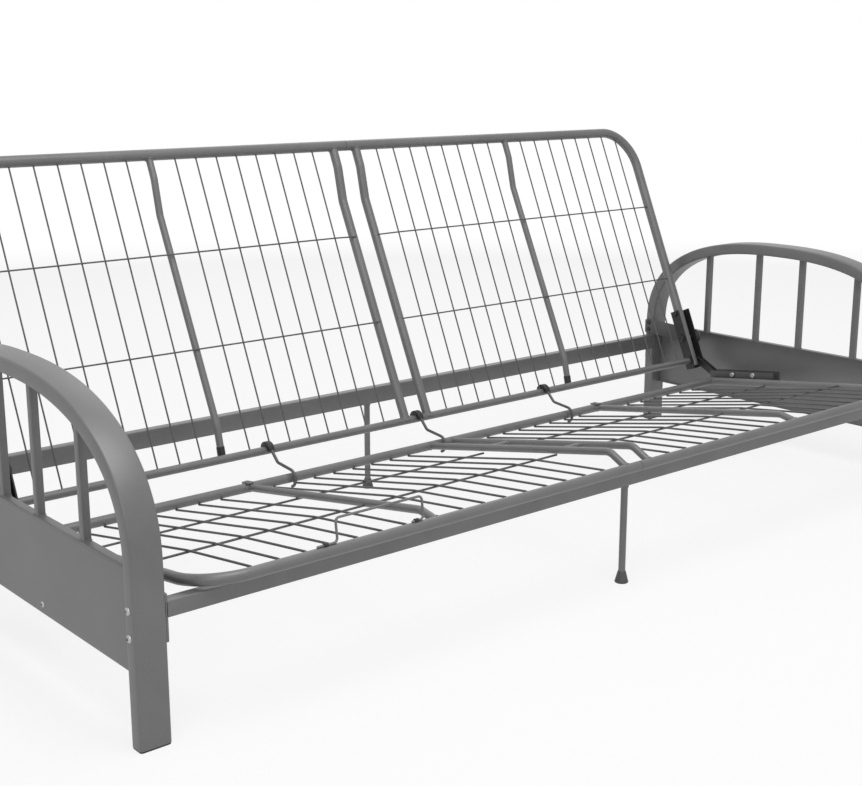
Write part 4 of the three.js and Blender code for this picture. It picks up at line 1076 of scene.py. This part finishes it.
def build_stage(context):
    stage = context.scene.futon_stage
    colours = context.scene.futon_colours
    camera = bpy.data.objects.new("camera", bpy.data.cameras.new("camera"))
    camera.location = stage.eye
    camera.rotation_euler = (math.pi / 2 - stage.dip, 0, -stage.heading)
    camera.data.lens = stage.lens
    camera.data.sensor_width = 36
    context.scene.collection.objects.link(camera)
    context.scene.camera = camera

    context.scene.view_settings.view_transform = "Standard"

    # A matt white floor. As it is seen, a share of plain white lifts it to the backdrop and grows to the
    # whole further out, so that the floor keeps the shadow and has no far edge.
    material, tree, output = fresh("matt_painted_studio_floor")
    place = add_node(tree, "ShaderNodeTexCoord").outputs["Object"]
    away = add_node(tree, "ShaderNodeVectorMath", {0: place}, operation="LENGTH").outputs["Value"]
    fade = add_node(tree, "ShaderNodeMapRange", {
        "Value": away, "From Min": 1.6, "From Max": 5.0,
    }, interpolation_type="SMOOTHSTEP").outputs["Result"]
    mottle = noise(tree, place, 400)
    tone = add_node(tree, "ShaderNodeMix", {
        "Factor": mottle, 6: shaded(colours.floor, 0.985), 7: shaded(colours.floor, 1.0),
    }, data_type="RGBA").outputs[2]
    matt = add_node(tree, "ShaderNodeBsdfDiffuse", {"Color": tone, "Roughness": 0.5}).outputs[0]
    white = add_node(tree, "ShaderNodeEmission", {"Strength": 1.0}).outputs[0]
    lifted = combined(tree, "MAXIMUM", fade, stage.lift)
    share = combined(tree, "MULTIPLY", lifted, seen_ray(tree))
    floor_mix = add_node(tree, "ShaderNodeMixShader", {0: share, 1: matt, 2: white}).outputs[0]
    tree.links.new(floor_mix, output.inputs["Surface"])
    reach = 14.0
    ring = [Vector((reach * math.cos(2 * math.pi * i / 64), reach * math.sin(2 * math.pi * i / 64), 0))
            for i in range(64)]
    mesh = bpy.data.meshes.new("studio_floor")
    mesh.from_pydata(ring, [], [tuple(range(64))])
    mesh.materials.append(material)
    floor = bpy.data.objects.new("studio_floor", mesh)
    context.scene.collection.objects.link(floor)

    world = bpy.data.worlds.new("studio")
    world.use_nodes = True
    context.scene.world = world
    tree = world.node_tree
    tree.nodes.clear()
    even = add_node(tree, "ShaderNodeBackground", {"Color": (1, 1, 1, 1), "Strength": stage.fill}).outputs[0]
    backdrop = add_node(tree, "ShaderNodeBackground", {"Color": (1, 1, 1, 1), "Strength": 1.0}).outputs[0]
    both = add_node(tree, "ShaderNodeMixShader", {0: seen_ray(tree), 1: even, 2: backdrop}).outputs[0]
    add_node(tree, "ShaderNodeOutputWorld", {"Surface": both})

    for name, where, size, power in (
        ("key_lamp", (-0.6, -1.0, 3.1), 2.2, stage.key),
        ("front_lamp", (-2.9, -2.2, 1.9), 1.8, stage.front),
        ("rear_lamp", (1.8, 2.2, 2.8), 2.4, stage.rear),
    ):
        lamp = bpy.data.objects.new(name, bpy.data.lights.new(name, "AREA"))
        lamp.data.energy = power
        lamp.data.size = size
        lamp.location = where
        lamp.rotation_euler = (Vector((0, 0, 0.3)) - Vector(where)).to_track_quat("-Z", "Y").to_euler()
        context.scene.collection.objects.link(lamp)


# ---- Operators ----

class FUTON_OT_stage(bpy.types.Operator):
    """Set up the camera, the floor and the studio light"""

    bl_idname = "futon.stage"
    bl_label = "Stage"

    def execute(self, context):
        build_stage(context)
        return {"FINISHED"}


class FUTON_OT_arms(bpy.types.Operator):
    """Build both arms with their aprons, spindles, bolts and foot caps"""

    bl_idname = "futon.arms"
    bl_label = "Arms"

    def execute(self, context):
        kit = Kit(context)
        for side, sign in SIDES.items():
            build_arm(kit, side, sign)
        return {"FINISHED"}


class FUTON_OT_rails(bpy.types.Operator):
    """Build the front and rear rails and their centre legs"""

    bl_idname = "futon.rails"
    bl_label = "Rails and centre legs"

    def execute(self, context):
        kit = Kit(context)
        for end in ("front", "rear"):
            build_rail(kit, end)
        return {"FINISHED"}


class FUTON_OT_hinges(bpy.types.Operator):
    """Build the hinge plates and pivot bolts"""

    bl_idname = "futon.hinges"
    bl_label = "Hinges"

    def execute(self, context):
        kit = Kit(context)
        for side, sign in SIDES.items():
            build_hinge(kit, side, sign)
        return {"FINISHED"}


class FUTON_OT_back(bpy.types.Operator):
    """Build the back: tubes, wire mesh and side channels"""

    bl_idname = "futon.back"
    bl_label = "Back"

    def execute(self, context):
        build_back(Kit(context))
        return {"FINISHED"}


class FUTON_OT_seat(bpy.types.Operator):
    """Build the seat: tubes, wire mesh, side channels and mattress retainer"""

    bl_idname = "futon.seat"
    bl_label = "Seat"

    def execute(self, context):
        build_seat(Kit(context))
        return {"FINISHED"}


class FUTON_OT_links(bpy.types.Operator):
    """Build the side links, the hooks and their clips"""

    bl_idname = "futon.links"
    bl_label = "Links and hooks"

    def execute(self, context):
        kit = Kit(context)
        for side, sign in SIDES.items():
            build_side_link(kit, side, sign)
        for name in ("left", "center", "right"):
            build_hook(kit, name)
        return {"FINISHED"}


OPERATORS = (FUTON_OT_stage, FUTON_OT_arms, FUTON_OT_rails, FUTON_OT_hinges, FUTON_OT_back, FUTON_OT_seat,
             FUTON_OT_links)


class FUTON_PT_panel(bpy.types.Panel):
    """Lists the steps that build the futon frame, with its sizes and colours"""

    bl_idname = "FUTON_PT_panel"
    bl_label = "Futon frame"
    bl_space_type = "VIEW_3D"
    bl_region_type = "UI"
    bl_category = "Futon"

    def draw(self, context):
        for operator in OPERATORS:
            self.layout.operator(operator.bl_idname)
        for group in (context.scene.futon_sizes, context.scene.futon_colours, context.scene.futon_stage):
            box = self.layout.box()
            for name in group.__annotations__:
                box.prop(group, name)


CLASSES = (FutonSizes, FutonColours, FutonStage, *OPERATORS, FUTON_PT_panel)


def register():
    for cls in CLASSES:
        bpy.utils.register_class(cls)
    bpy.types.Scene.futon_sizes = PointerProperty(type=FutonSizes)
    bpy.types.Scene.futon_colours = PointerProperty(type=FutonColours)
    bpy.types.Scene.futon_stage = PointerProperty(type=FutonStage)


def unregister():
    del bpy.types.Scene.futon_stage
    del bpy.types.Scene.futon_colours
    del bpy.types.Scene.futon_sizes
    for cls in reversed(CLASSES):
        bpy.utils.unregister_class(cls)


def main():
    register()
    bpy.ops.futon.stage()
    bpy.ops.futon.arms()
    bpy.ops.futon.rails()
    bpy.ops.futon.hinges()
    bpy.ops.futon.back()
    bpy.ops.futon.seat()
    bpy.ops.futon.links()
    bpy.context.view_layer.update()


if __name__ == "__main__":
    main()
